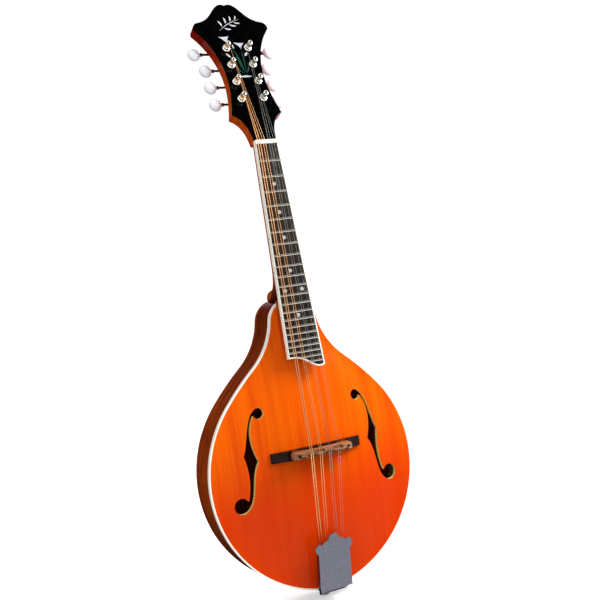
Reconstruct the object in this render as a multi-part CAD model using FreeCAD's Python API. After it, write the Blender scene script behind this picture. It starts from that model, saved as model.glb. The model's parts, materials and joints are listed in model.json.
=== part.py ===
import FreeCAD, Part

import math
import os

# An eight-string A-style mandolin. Millimetres.
# Frame: the origin is the middle of the flat end of the end button, +Z runs up the body and neck,
# -Y points out of the soundboard and +X points to the treble side.

Vec = FreeCAD.Vector
Placement = FreeCAD.Placement
Rotation = FreeCAD.Rotation

# ---- driving dimensions -------------------------------------------------------------------------

# Body box
BODY_TAIL = 12.0            # the tail edge of the body stands this far above the end of the button
RIM_DEPTH = 46.0            # front edge of the soundboard to back edge of the back, at the rim
RIM_FRONT = -RIM_DEPTH / 2
RIM_BACK = RIM_DEPTH / 2
BODY_LENGTH = 334.6         # tail edge to the flat end that the neck heel butts against
BODY_TOP = BODY_TAIL + BODY_LENGTH
# The half outline as tangent arcs from the tail: radius (negative where it curves in) and turn.
BODY_ARCS = ((60.0, 9.0), (139.5, 53.0), (136.5, 68.0), (340.0, 9.0), (-83.5, 28.5), (-80.0, 12.0),
             (26.7, 75.0))
SIDE_THICK = 2.4
BINDING_WIDTH = 1.8
TOP_EDGE = 5.0              # thickness of the soundboard, and of its binding, at the rim
BACK_EDGE = 4.5
RIM_LEDGE = 6.0             # flat glued border inside the outline before the arch starts
TOP_ARCH = 11.5
BACK_ARCH = 9.0
ARCH_CENTRE = 155.0         # highest point of both arches above the tail edge
GRADUATION = 1.06           # the inside is hollowed a little more than the outside rises
GRID_STEP = 7.5             # spacing of the grid that carries the arches
GRID_HALF = 135.0           # it reaches this far to each side
GRID_MARGIN = 12.0          # and starts this far past the tail edge
WIDE = 140.0                # half of a box that is wider than the body
LINING_WIDTH = 5.0
LINING_HEIGHT = 9.0
TAIL_BLOCK = 24.0
GLUE_LINE = 0.05            # glue between the plates and what carries them inside
NECK_BLOCK = 46.0

# Sound holes, on the treble side: x, height above the tail edge
UPPER_EYE = (61.1, 213.5)
UPPER_EYE_R = 6.1
LOWER_EYE = (93.3, 115.7)
LOWER_EYE_R = 8.9

# Neck and fingerboard. "d" is a distance below the nut, along the fingerboard.
SCALE_LENGTH = 352.4
NECK_ANGLE = 5.6
NUT_ABOVE_TAIL = 514.2
NUT_SETBACK = 3.2           # fingerboard surface at the nut lies behind the rim's front plane
BOARD_THICK = 5.5
BOARD_HALF_NUT = 14.2
BOARD_HALF_END = 21.2
BOARD_END_BASS = 247.5
BOARD_END_TREBLE = 259.4
BOARD_BINDING = 1.5
FRETS = 22
FRET_HEIGHT = 1.0
FRET_WIDTH = 2.0
DOT_FRETS = (3, 5, 7, 10, 12, 15)
DOT_RADIUS = 2.2
DOT_PAIR_X = 10.4
NUT_THICK = 5.0
NUT_PROUD = 2.1
RISER_END = 232.0

# Headstock. "s" is a distance above the nut, along the headstock's face.
HEAD_TILT = 15.0
FACE_SETBACK = 1.0
HEAD_THICK = 14.5
VENEER = 1.5
CROWN = 197.4

# Tuners
POST_X = 13.8
POST_FIRST = 62.4
POST_STEP = 23.65
POST_R = 3.0
POST_HOLE_R = 3.6
FIT = 0.05                  # radial clearance of every turning fit
PLATE_THICK = 1.2           # the strip behind each row of posts
PLATE_HALF = 6.5
LUG_THICK = 1.4             # the lugs that carry each worm shaft
LUG_HALF = 2.3
PLATE_SCREW_R = 1.1
SCREW_ABOVE_POST = 13.5
WORM_DEPTH = 18.4           # worm and gear mid plane behind the headstock's face
WORM_LEAD = 1.5
GEAR_TEETH = 14
GEAR_PITCH_R = GEAR_TEETH * WORM_LEAD / (2 * math.pi)
WORM_PITCH_R = 1.75
WORM_OFFSET = GEAR_PITCH_R + WORM_PITCH_R
SHAFT_R = 1.4
BUTTON_X = (40.0, 40.0, 40.0, 48.5)
BUTTON_HALF = (7.7, 4.5, 8.5)

# Bridge
BRIDGE_Z = BODY_TAIL + 161.5
BRIDGE_HALF = 55.5
BRIDGE_WIDTH = 11.0
BASE_TOP = 19.5             # heights above the rim's front plane
BASE_END_TOP = 13.3
WHEEL_THICK = 2.2
WHEEL_R = 6.0
KNURLS = 24
WHEEL_LOWER_GAP = 1.3       # room for the wheels to be turned down
WHEEL_UPPER_GAP = 0.3
SADDLE_HALF = 36.5
SADDLE_BOTTOM = BASE_TOP + WHEEL_LOWER_GAP + WHEEL_THICK + WHEEL_UPPER_GAP
SADDLE_TOP = 36.6
SADDLE_FOOT_HALF = 4.6
SCALLOP_R = 5.2
SCALLOP_DEEP = 7.5
STUD_X = 30.0
STUD_R = 1.75
SLIDE_GAP = 0.3

# Tailpiece
COVER_SLOPE = 10.25
COVER_FOOT = 14.0           # height of the cover's lower edge above the rim's front plane
COVER_THICK = 1.0
COVER_HALF = 20.0

# Strings: x at the nut, at the saddle and at the hook, post row, diameter (bass side to treble)
STRINGS = (
    ("wound", -11.5, -18.2, -14.6, 0, 1.02),
    ("wound", -8.7, -15.8, -11.4, 1, 1.02),
    ("wound", -5.0, -6.9, -7.8, 2, 0.66),
    ("wound", -2.2, -4.5, -4.6, 3, 0.66),
    ("plain", 2.2, 4.5, 4.6, 3, 0.38),
    ("plain", 5.0, 6.9, 7.8, 2, 0.38),
    ("plain", 8.7, 15.8, 11.4, 1, 0.28),
    ("plain", 11.5, 18.2, 14.6, 0, 0.28),
)
HOOK_ABOVE_TAIL = 34.0
STRING_ON_POST = 6.0        # height of the string above the headstock's face, at its post

# ---- frames ------------------------------------------------------------------------------------

# Fingerboard frame: origin on its surface at the nut's front edge, z up, y into the neck.
BOARD_FRAME = Placement(Vec(0, RIM_FRONT + NUT_SETBACK, BODY_TAIL + NUT_ABOVE_TAIL),
                        Rotation(Vec(1, 0, 0), -NECK_ANGLE))
# Headstock frame: origin on its face at the nut's front edge, z up the face, y into the wood.
HEAD_FRAME = BOARD_FRAME * Placement(Vec(0, FACE_SETBACK, 0), Rotation(Vec(1, 0, 0), -HEAD_TILT))
# Cover frame: origin on the cover's outside at its lower edge, z up its slope, y into the body.
COVER_FRAME = Placement(Vec(0, RIM_FRONT - COVER_FOOT, BODY_TAIL + 3.0),
                        Rotation(Vec(1, 0, 0), COVER_SLOPE))


# ---- helpers -----------------------------------------------------------------------------------

def placed(shape, frame):
    """A copy of the shape, moved from the given frame into the part's frame."""
    copy = shape.copy()
    copy.Placement = frame.multiply(copy.Placement)
    return copy


def save(name, shape):
    """Writes one named piece and reports its solids."""
    shape.exportStep("parts/" + name + ".step")
    print(name, len(shape.Solids), "solids", round(shape.Volume, 1), "mm3", shape.isValid())


def box(x0, x1, y0, y1, z0, z1):
    return Part.makeBox(x1 - x0, y1 - y0, z1 - z0, Vec(x0, y0, z0))


def rod(start, end, radius):
    """A round bar between two points."""
    return Part.makeCylinder(radius, (end - start).Length, start, end - start)


def spline(points, y=0.0):
    """A smooth edge through (x, z) points."""
    curve = Part.BSplineCurve()
    curve.interpolate([Vec(x, y, z) for x, z in points])
    return curve.toShape()


def line(start, end, y=0.0):
    return Part.makeLine(Vec(start[0], y, start[1]), Vec(end[0], y, end[1]))


def mirrored(points):
    """The same (x, z) points on the other side of the middle, in reverse order."""
    return [(-x, z) for x, z in reversed(points)]


def face_of(edges):
    return Part.Face(Part.Wire(Part.__sortEdges__(edges)))


def plate(edges, y0, y1):
    """A flat plate of the outline that the edges close, from y0 to y1."""
    face = face_of(edges)
    face.translate(Vec(0, y0, 0))
    return face.extrude(Vec(0, y1 - y0, 0))


def turned(profile):
    """A solid of revolution about the y axis from (radius, y) corners."""
    points = [Vec(r, y, 0) for r, y in profile]
    points.append(points[0])
    face = Part.Face(Part.makePolygon(points))
    return face.revolve(Vec(0, 0, 0), Vec(0, 1, 0), 360)


# ---- body outline ------------------------------------------------------------------------------

def outline_arcs(inset=0.0):
    """The half outline's arcs as (centre x, centre z, radius, first heading, last heading)."""
    x, z, heading = 0.0, inset, 0.0
    arcs = []
    for radius, turn in BODY_ARCS:
        r = radius - inset
        centre_x = x - r * math.sin(heading)
        centre_z = z + r * math.cos(heading)
        last = heading + math.copysign(math.radians(turn), radius)
        if centre_z - r * math.cos(last) > BODY_LENGTH:
            last = math.acos((centre_z - BODY_LENGTH) / r)
        arcs.append((centre_x, centre_z, r, heading, last))
        heading = last
        x = centre_x + r * math.sin(heading)
        z = centre_z - r * math.cos(heading)
        if z > BODY_LENGTH - 0.001:
            break
    return arcs


def arc_point(arc, heading):
    return (arc[0] + arc[2] * math.sin(heading), arc[1] - arc[2] * math.cos(heading))


def half_width(height):
    """Half the width of the body at a height above the tail edge."""
    height = min(max(height, 0.5), BODY_LENGTH - 0.01)
    for arc in OUTLINE:
        if arc_point(arc, arc[4])[1] >= height:
            return arc_point(arc, math.acos((arc[1] - height) / arc[2]))[0]
    return arc_point(OUTLINE[-1], OUTLINE[-1][4])[0]


OUTLINE = outline_arcs()


def body_prism(inset, y0, y1):
    """The body's outline, inset all round and flat at the neck end, as a solid from y0 to y1."""
    edges = []
    for side in (1, -1):
        for arc in outline_arcs(inset):
            ends = [arc_point(arc, arc[3] + (arc[4] - arc[3]) * k / 2) for k in range(3)]
            points = [Vec(side * x, 0, z + BODY_TAIL) for x, z in ends]
            edges.append(Part.Arc(points[0], points[1], points[2]).toShape())
            corner = points[2]
    edges.append(Part.makeLine(corner, Vec(-corner.x, 0, corner.z)))
    return plate(edges, y0, y1)


def bell(u):
    """1 in the middle, falling to 0 at the ledge with no slope at either."""
    return (1 - u ** 3) ** 2 if u < 1 else 0.0


def arch(x, height):
    """The arch of the soundboard, from 0 at the ledge to 1 at its highest point."""
    span = ARCH_CENTRE - RIM_LEDGE if height < ARCH_CENTRE else BODY_LENGTH - ARCH_CENTRE
    across = abs(x) / (half_width(height) - RIM_LEDGE) if 0 < height < BODY_LENGTH else 1.0
    return bell(abs(height - ARCH_CENTRE) / span) * bell(min(across, 1.0))


def arch_block(level, rise, depth):
    """Everything on one side of an arched surface: y = level + rise * arch, filled by depth."""
    columns = int(round(2 * GRID_HALF / GRID_STEP)) + 1
    rows = int(round((BODY_LENGTH + 2.5 * GRID_MARGIN) / GRID_STEP)) + 1
    grid = []
    for i in range(columns):
        x = -GRID_HALF + i * GRID_STEP
        heights = [-GRID_MARGIN + j * GRID_STEP for j in range(rows)]
        grid.append([Vec(x, level + rise * arch(x, h), BODY_TAIL + h) for h in heights])
    surface = Part.BSplineSurface()
    surface.interpolate(grid)
    return surface.toShape().extrude(Vec(0, depth, 0))


# ---- body pieces -------------------------------------------------------------------------------

def sound_hole(side):
    """One f-shaped hole: two round eyes joined by a swelling stem with a nick on each edge."""
    outer = [(UPPER_EYE[0] - 1.0, UPPER_EYE[1] + UPPER_EYE_R - 0.1), (67.3, 216.2), (74.4, 203.5),
             (78.3, 189.5), (84.4, 169.4)]
    outer_low = [(84.4, 169.4), (81.6, 152.0), (81.9, 137.0), (85.6, 119.5)]
    inner_low = [(94.0, 106.9), (86.6, 109.4), (80.2, 119.0), (76.8, 134.0), (74.0, 148.0), (68.4, 160.7)]
    inner = [(68.4, 160.7), (72.4, 174.5), (73.8, 188.0), (71.9, 201.0), (66.6, 212.0)]
    runs = [outer, outer_low, inner_low, inner]
    runs = [[(side * x, z + BODY_TAIL) for x, z in run] for run in runs]
    edges = [spline(run) for run in runs]
    lower_centre = (side * LOWER_EYE[0], LOWER_EYE[1] + BODY_TAIL)
    upper_centre = (side * UPPER_EYE[0], UPPER_EYE[1] + BODY_TAIL)
    edges += [line(runs[1][-1], lower_centre), line(lower_centre, runs[2][0])]
    edges += [line(runs[3][-1], upper_centre), line(upper_centre, runs[0][0])]
    front = RIM_FRONT - 30
    depth = 30 + TOP_EDGE + 8
    stem = plate(edges, front, front + depth)
    eyes = [Part.makeCylinder(r, depth, Vec(c[0], front, c[1]), Vec(0, 1, 0))
            for c, r in ((upper_centre, UPPER_EYE_R), (lower_centre, LOWER_EYE_R))]
    return stem.fuse(eyes)


def top_plate():
    blank = body_prism(BINDING_WIDTH, RIM_FRONT - 30, RIM_FRONT + 20)
    plate_ = blank.common(arch_block(RIM_FRONT, -TOP_ARCH, 60))
    plate_ = plate_.cut(TOP_INSIDE)
    return plate_.cut([sound_hole(1), sound_hole(-1)])


def back_plate():
    blank = body_prism(0, RIM_BACK - 20, RIM_BACK + 30)
    outside = arch_block(RIM_BACK, BACK_ARCH, -60)
    inside = arch_block(RIM_BACK - BACK_EDGE, BACK_ARCH * GRADUATION, -60)
    button = Part.makeCylinder(10, BACK_EDGE, Vec(0, RIM_BACK - BACK_EDGE, BODY_TOP + 3), Vec(0, 1, 0))
    button = button.common(box(-20, 20, 0, 40, BODY_TOP, BODY_TOP + 20))
    return blank.common(outside).cut(inside).fuse(button)


def side(sign):
    """One bent side, from the joint at the tail to the heel."""
    y0, y1 = RIM_FRONT + TOP_EDGE, RIM_BACK - BACK_EDGE
    band = body_prism(0, y0, y1).cut(body_prism(SIDE_THICK, y0 - 1, y1 + 1))
    near, far = (0, WIDE) if sign > 0 else (-WIDE, 0)
    half = box(near, far, y0 - 2, y1 + 2, 0, BODY_TOP + 50)
    return band.common(half).cut([end_screw(), tenon()] + tail_screws())


def top_binding():
    y0, y1 = RIM_FRONT, RIM_FRONT + TOP_EDGE
    ring = body_prism(0, y0, y1).cut(body_prism(BINDING_WIDTH, y0 - 1, y1 + 1))
    return ring


def inside_slab(inset, y0, y1, z0, z1):
    """A slice of the space inside the sides."""
    return body_prism(inset, y0, y1).common(box(-WIDE, WIDE, y0 - 1, y1 + 1, z0, z1))


def linings():
    """The glueing strips inside the front and back edges of the sides."""
    strips = []
    low = BODY_TAIL + TAIL_BLOCK
    high = BODY_TOP - NECK_BLOCK
    for y0 in (RIM_FRONT + TOP_EDGE + GLUE_LINE, RIM_BACK - BACK_EDGE - GLUE_LINE - LINING_HEIGHT):
        y1 = y0 + LINING_HEIGHT
        band = inside_slab(SIDE_THICK, y0, y1, low, high)
        strips.append(band.cut(body_prism(SIDE_THICK + LINING_WIDTH, y0 - 1, y1 + 1)))
    return Part.makeCompound(strips[0].Solids + strips[1].Solids)


def tenon():
    """The dovetail of the heel, wider at its blind end."""
    corners = [(-9.0, BODY_TOP + 1), (-12.5, BODY_TOP - 14), (12.5, BODY_TOP - 14), (9.0, BODY_TOP + 1)]
    edges = [line(corners[k], corners[(k + 1) % 4]) for k in range(4)]
    return plate(edges, RIM_FRONT + TOP_EDGE, RIM_BACK - BACK_EDGE - 10)


def neck_block():
    y0, y1 = RIM_FRONT + TOP_EDGE + GLUE_LINE, RIM_BACK - BACK_EDGE - GLUE_LINE
    return inside_slab(SIDE_THICK, y0, y1, BODY_TOP - NECK_BLOCK, BODY_TOP).cut(tenon())


def tail_block():
    y0, y1 = RIM_FRONT + TOP_EDGE + GLUE_LINE, RIM_BACK - BACK_EDGE - GLUE_LINE
    block = inside_slab(SIDE_THICK, y0, y1, BODY_TAIL, BODY_TAIL + TAIL_BLOCK)
    block = block.common(box(-40, 40, y0, y1, BODY_TAIL, BODY_TAIL + TAIL_BLOCK))
    return block.cut([end_screw()] + tail_screws())


def tone_bars():
    """Two spruce bars glued inside the soundboard, leaning out towards the tail."""
    bars = []
    for sign in (1, -1):
        bar = box(-3.5, 3.5, RIM_FRONT - 20, RIM_FRONT + 7, 70, 262)
        bar.rotate(Vec(0, 0, 262), Vec(0, 1, 0), sign * 4.0)
        bar.translate(Vec(sign * 24, 0, 0))
        bars.append(bar.common(TOP_INSIDE))
    return Part.makeCompound(bars)


# ---- neck --------------------------------------------------------------------------------------

def fret_distance(n):
    return SCALE_LENGTH * (1 - 2 ** (-n / 12))


def board_half(d):
    """Half the width of the bound fingerboard at a distance below the nut."""
    return BOARD_HALF_NUT + (BOARD_HALF_END - BOARD_HALF_NUT) * d / BOARD_END_BASS


def board_outline(inset):
    """The fingerboard's plan with its scooped end, inset at the sides and the end."""
    side_d = BOARD_END_BASS - inset
    treble_d = BOARD_END_TREBLE - inset
    scoop = [(-board_half(side_d) + inset, side_d), (-12.0, side_d + 0.2), (-5.0, side_d + 2.0),
             (4.0, side_d + 7.5), (12.0, treble_d + 0.3), (board_half(treble_d) - inset, treble_d)]
    start = -board_half(0) + inset
    low = [(x, -d) for x, d in scoop]
    corner = (-start, 0)
    return [line((start, 0), low[0]), spline(low), line(low[-1], corner), line(corner, (start, 0))]


def fret_bars(y0, y1, width):
    """One bar across the board for each fret."""
    bars = []
    for n in range(1, FRETS + 1):
        d = fret_distance(n)
        bars.append(box(-30, 30, y0, y1, -d - width / 2, -d + width / 2))
    return bars


def dots():
    """The round position marks, single but for the pair at the octave."""
    marks = []
    for n in DOT_FRETS:
        d = (fret_distance(n - 1) + fret_distance(n)) / 2
        for x in (-DOT_PAIR_X, DOT_PAIR_X) if n == 12 else (0,):
            marks.append(Part.makeCylinder(DOT_RADIUS, 1.5, Vec(x, 0, -d), Vec(0, 1, 0)))
    return marks


def fingerboard():
    board = plate(board_outline(BOARD_BINDING), 0, BOARD_THICK)
    slots = fret_bars(-1, 2.0, 0.6)
    return placed(board.cut(slots + dots()), BOARD_FRAME)


def fingerboard_binding():
    whole = plate(board_outline(0), 0, BOARD_THICK)
    inner = plate(board_outline(BOARD_BINDING), -1, BOARD_THICK + 1)
    return placed(whole.cut(inner), BOARD_FRAME)


def frets():
    """Each fret is a low crowned bar with its tang in the board's slot."""
    inside = plate(board_outline(BOARD_BINDING), -3, BOARD_THICK)
    made = []
    for n in range(1, FRETS + 1):
        d = fret_distance(n)
        crown_r = FRET_WIDTH * 0.75
        crown = Part.makeCylinder(crown_r, 60, Vec(-30, crown_r - FRET_HEIGHT, -d), Vec(1, 0, 0))
        crown = crown.common(box(-30, 30, -3, 0, -d - FRET_WIDTH / 2, -d + FRET_WIDTH / 2))
        bar = crown.fuse(box(-30, 30, 0, 2.0, -d - 0.3, -d + 0.3))
        made.append(placed(bar.common(inside), BOARD_FRAME))
    return Part.makeCompound([solid for bar in made for solid in bar.Solids])


def neck_section(d, depth, half):
    """The neck's section: flat under the fingerboard, a full curve at the back."""
    rise = depth - BOARD_THICK
    narrowing = min(max((rise - 12.0) / 30.0, 0.0), 1.0)
    low = 0.99 - 0.09 * narrowing
    mid = 0.82 - 0.16 * narrowing
    ratios = [(1.0, 0.0), (low, 0.32), (mid, 0.68), (0.46, 0.92), (0.0, 1.0)]
    right = [Vec(half * u, BOARD_THICK + rise * v, -d) for u, v in ratios]
    points = right + [Vec(-p.x, p.y, p.z) for p in reversed(right[:-1])]
    curve = Part.BSplineCurve()
    curve.interpolate(points)
    return Part.Wire([curve.toShape(), Part.makeLine(points[-1], points[0])])


def neck_shaft():
    """The shaft and heel, drawn through sections that deepen towards the body."""
    depths = ((-13, 15.6), (0, 16.0), (40, 16.6), (80, 17.0), (110, 17.2), (132, 17.6), (144, 19.2),
              (151, 22.5), (156.5, 28.5), (161, 37.0), (166, 46.5), (172, 53.5), (186, 58.0))
    sections = []
    for d, depth in depths:
        half = board_half(max(d, 0)) - (0.4 if d < 0 else 0.0)
        sections.append(neck_section(d, depth, half))
    return Part.makeLoft(sections, True, False)


def head_edges():
    """The headstock's outline: concave sides, eared shoulders and a double-humped crown."""
    foot = [(13.9, 5.2), (15.4, 18.0), (20.0, 31.0), (31.1, 41.6)]
    flank = [(31.1, 41.6), (26.6, 60.0), (23.2, 88.0), (27.6, 122.6), (38.4, 148.0), (47.6, 161.0)]
    ear = [(47.6, 161.0), (46.6, 166.6), (42.2, 170.6)]
    shoulder = [(42.2, 170.6), (34.0, 173.0), (26.8, 177.6), (19.8, 185.4), (14.2, 192.2), (8.0, 196.9)]
    hump = [(8.0, 196.9), (4.4, CROWN), (0.0, 195.8)]
    edges = []
    for run in (foot, flank, ear, shoulder, hump):
        edges += [spline(run), spline(mirrored(run))]
    edges.append(line(foot[0], (-foot[0][0], foot[0][1])))
    return edges


def row_height(row):
    return POST_FIRST + row * POST_STEP


def post_holes(radius, y0, y1):
    """A cylinder at each of the eight tuner posts, in the headstock frame."""
    return [Part.makeCylinder(radius, y1 - y0, Vec(sign * POST_X, y0, row_height(row)), Vec(0, 1, 0))
            for sign in (1, -1) for row in range(4)]


def neck_bar_slot(clear):
    """The fixed steel bar set in the neck under the fingerboard."""
    return box(-3.0 - clear, 3.0 + clear, BOARD_THICK, BOARD_THICK + 6.0, -172.0, -8.0)


def neck():
    """Heel, shaft and headstock core, one piece of wood."""
    head = plate(head_edges(), VENEER, HEAD_THICK)
    scarf = box(-40, 40, -30, 30, -60, 0)
    scarf.rotate(Vec(0, 0, 0), Vec(1, 0, 0), -38)
    scarf.translate(Vec(0, VENEER + 2.0, 5.4))
    head = head.cut(scarf)
    head = placed(head.cut(post_holes(POST_HOLE_R, 0, HEAD_THICK + 1)), HEAD_FRAME)
    shaft = placed(neck_shaft(), BOARD_FRAME)
    shaft = shaft.cut(placed(box(-40, 40, -40, VENEER, 5.2, 60), HEAD_FRAME))
    shaft = shaft.cut(box(-60, 60, -60, 60, BODY_TOP - 60, BODY_TOP))
    whole = shaft.fuse([head, tenon()]).removeSplitter()
    under_button = Part.makeCylinder(40, 30, Vec(0, RIM_BACK - BACK_EDGE, BODY_TOP), Vec(0, 1, 0))
    whole = whole.cut([under_button, placed(neck_bar_slot(0), BOARD_FRAME)])
    return whole.cut(fingerboard_nut_seat())


def fingerboard_nut_seat():
    """The space of the fingerboard and nut, kept clear of the neck's wood."""
    seat = box(-40, 40, -20, BOARD_THICK, -200, NUT_THICK)
    return placed(seat, BOARD_FRAME)


def neck_bar():
    return placed(neck_bar_slot(-0.02), BOARD_FRAME)


def fingerboard_riser():
    """The wedge that carries the fingerboard over the soundboard."""
    top_d = NUT_ABOVE_TAIL - BODY_LENGTH + 1.0
    near, far = board_half(top_d) - 0.9, board_half(RISER_END) - 0.9
    corners = [(-near, -top_d + 12), (-far, -RISER_END), (far, -RISER_END), (near, -top_d + 12)]
    edges = [line(corners[k], corners[(k + 1) % 4]) for k in range(4)]
    wedge = placed(plate(edges, BOARD_THICK, 40), BOARD_FRAME)
    wedge = wedge.common(box(-60, 60, -60, RIM_FRONT + 1, 200, BODY_TOP))
    return wedge.cut(TOP_OUTSIDE)


def nut():
    block = box(-BOARD_HALF_NUT, BOARD_HALF_NUT, -NUT_PROUD, BOARD_THICK, 0, NUT_THICK)
    block = block.makeFillet(0.7, [e for e in block.Edges if e.BoundBox.YMax < -NUT_PROUD + 0.01
                                   and e.BoundBox.XLength > 5])
    return placed(block, BOARD_FRAME).cut(string_grooves(0.03))


def nut_string_y(diameter):
    """The string's middle over the nut, in the fingerboard frame."""
    return -FRET_HEIGHT - 0.4 - diameter / 2


# ---- headstock face ----------------------------------------------------------------------------

def leaf(root, tip, bend, width):
    """A slim leaf from root to tip, bent sideways, as two arcs."""
    dx, dz = tip[0] - root[0], tip[1] - root[1]
    length = math.hypot(dx, dz)
    side_x, side_z = -dz / length, dx / length
    mid = ((root[0] + tip[0]) / 2, (root[1] + tip[1]) / 2)
    edges = []
    for offset in (bend - width / 2, bend + width / 2):
        through = (mid[0] + side_x * offset, mid[1] + side_z * offset)
        points = [Vec(p[0], 0, p[1]) for p in (root, through, tip)]
        edges.append(Part.Arc(points[0], points[1], points[2]).toShape())
    return plate(edges, 0, 0.8)


def trumpet(base, lip_left, lip_right):
    """A trumpet flower: a flared mouth with curved flanks down to its stem."""
    edges = []
    corners = (base, lip_left, lip_right)
    centre = (sum(c[0] for c in corners) / 3, sum(c[1] for c in corners) / 3)
    for k in range(3):
        start, end = corners[k], corners[(k + 1) % 3]
        mid = ((start[0] + end[0]) / 2, (start[1] + end[1]) / 2)
        pull = 0.28 if k != 1 else 0.16
        through = (mid[0] + (centre[0] - mid[0]) * pull, mid[1] + (centre[1] - mid[1]) * pull)
        points = [Vec(p[0], 0, p[1]) for p in (start, through, end)]
        edges.append(Part.Arc(points[0], points[1], points[2]).toShape())
    return plate(edges, 0, 0.8)


def clear_of_bushings(shapes):
    """The inlays, trimmed where the bushings' flanges stand."""
    made = []
    for shape in shapes:
        made += shape.cut(post_holes(5.3, -1, 3)).Solids
    return made


def pearl_pieces():
    """White inlays: two trumpet flowers, their buds, the bar at the root and a sprig above."""
    flowers = [trumpet((-10.2, 139.6), (-20.0, 150.2), (-6.2, 150.8)),
               trumpet((5.2, 131.2), (-3.0, 141.8), (10.4, 140.6))]
    buds = [leaf((-11.0, 120.4), (-16.0, 126.6), 0.3, 2.6), leaf((6.6, 121.8), (11.2, 127.6), -0.3, 2.6),
            leaf((-4.2, 132.4), (-4.6, 139.0), 0.2, 1.9)]
    bar = [leaf((-7.4, 93.0), (8.4, 93.0), 0.0, 2.6)]
    stem = [leaf((-15.5, 159.0), (14.0, 175.5), 2.0, 0.9)]
    upper = [leaf((-10.8, 165.0), (-14.6, 173.4), -0.9, 2.3), leaf((-5.2, 169.0), (-6.2, 178.2), -0.9, 2.3),
             leaf((1.2, 172.0), (1.8, 180.4), -0.8, 2.1), leaf((7.6, 174.6), (9.8, 181.0), -0.6, 1.7)]
    lower = [leaf((-8.4, 162.8), (0.4, 161.0), -0.8, 2.2), leaf((-1.2, 168.0), (8.0, 165.8), -0.9, 2.2),
             leaf((5.6, 171.0), (13.6, 169.8), -0.7, 1.9)]
    return clear_of_bushings(flowers + buds + bar + stem + upper + lower)


def leaf_pieces():
    """Green inlays: the stems and long leaves of the flowers."""
    root = (1.0, 96.4)
    stems = [leaf((0.1, 97.4), (-9.0, 137.4), -3.0, 1.5), leaf((1.9, 97.6), (4.0, 130.4), -1.2, 1.5),
             leaf((0.9, 99.0), (-3.2, 128.6), 1.2, 1.9), leaf((2.9, 98.0), (8.0, 113.2), -1.6, 1.7),
             leaf((-1.0, 97.6), (-9.6, 118.2), 2.4, 1.5)]
    trimmed = [stems[0]]
    for piece in stems[1:]:
        for earlier in trimmed:
            piece = piece.cut(earlier)
        trimmed.append(piece)
    pearl = pearl_pieces()
    solids = []
    for piece in trimmed + [leaf((root[0] - 3.0, root[1] - 1.6), (root[0] + 3.0, root[1] - 1.6), 0.0, 1.0)]:
        piece = piece.cut(pearl)
        solids += [solid for solid in clear_of_bushings([piece]) if solid.Volume > 0.15]
    joined = solids[0]
    for solid in solids[1:]:
        joined = joined.fuse(solid)
    return joined.removeSplitter().Solids


def headstock_veneer():
    face = plate(head_edges(), 0, VENEER)
    cuts = post_holes(POST_HOLE_R, -1, VENEER + 1) + pearl_pieces() + leaf_pieces()
    return placed(face.cut(cuts), HEAD_FRAME).cut(fingerboard_nut_seat())


# ---- tuners ------------------------------------------------------------------------------------

def bushings():
    """The flanged bushings pressed into the front of the headstock, one for each post."""
    profile = ((POST_R + FIT, -2.6), (4.1, -2.2), (4.9, -0.9), (5.0, 0.0), (POST_HOLE_R, 0.0),
               (POST_HOLE_R, 6.0), (POST_R + FIT, 6.0))
    made = []
    for sign in (1, -1):
        for row in range(4):
            ring = turned(profile)
            ring.translate(Vec(sign * POST_X, 0, row_height(row)))
            made.append(placed(ring, HEAD_FRAME))
    return Part.makeCompound(made)


def plate_screw_spots(sign):
    rows = [row_height(row) for row in range(4)]
    heights = [rows[0] - 7.5] + [z + SCREW_ABOVE_POST for z in rows[:3]] + [rows[3] + 11.5]
    return [(sign * POST_X, z) for z in heights]


def tuner_plate(sign):
    """The strip behind one row of posts, with two lugs for each worm shaft."""
    low, high = row_height(0) - 11, row_height(3) + 15
    y0, y1 = HEAD_THICK, HEAD_THICK + PLATE_THICK
    middle = sign * POST_X
    strip = box(middle - PLATE_HALF, middle + PLATE_HALF, y0, y1, low, high)
    corners = [e for e in strip.Edges if e.BoundBox.YLength > 1 and e.BoundBox.XLength < 0.1
               and e.BoundBox.ZLength < 0.1]
    strip = strip.makeFillet(4.0, corners)
    lugs = []
    for row in range(4):
        z = row_height(row) + WORM_OFFSET
        for x in (middle - 5.0, middle + 3.6):
            lugs.append(box(x, x + LUG_THICK, y1 - 0.2, WORM_DEPTH + LUG_HALF, z - LUG_HALF, z + LUG_HALF))
    body = strip.fuse(lugs)
    bores = []
    for row in range(4):
        post_seat = Vec(middle, y0 - 1, row_height(row))
        worm_seat = Vec(middle - 7, WORM_DEPTH, row_height(row) + WORM_OFFSET)
        bores.append(Part.makeCylinder(POST_R + FIT, 3, post_seat, Vec(0, 1, 0)))
        bores.append(Part.makeCylinder(SHAFT_R + FIT, 14, worm_seat, Vec(1, 0, 0)))
    holes = [Part.makeCylinder(PLATE_SCREW_R, 4, Vec(x, y0 - 1, z), Vec(0, 1, 0))
             for x, z in plate_screw_spots(sign)]
    return placed(body.cut(bores + holes), HEAD_FRAME)


def plate_screws():
    """Round-headed screws that hold the strips."""
    made = []
    for sign in (1, -1):
        for x, z in plate_screw_spots(sign):
            top = HEAD_THICK + PLATE_THICK
            screw = turned(((0, HEAD_THICK), (PLATE_SCREW_R, HEAD_THICK), (PLATE_SCREW_R, top), (2.0, top),
                            (1.8, top + 0.7), (1.1, top + 1.1), (0, top + 1.2)))
            slot = box(-0.25, 0.25, top + 0.7, top + 2, -3, 3)
            screw = screw.cut(slot)
            screw.translate(Vec(x, 0, z))
            made.append(placed(screw, HEAD_FRAME))
    return Part.makeCompound(made)


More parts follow.
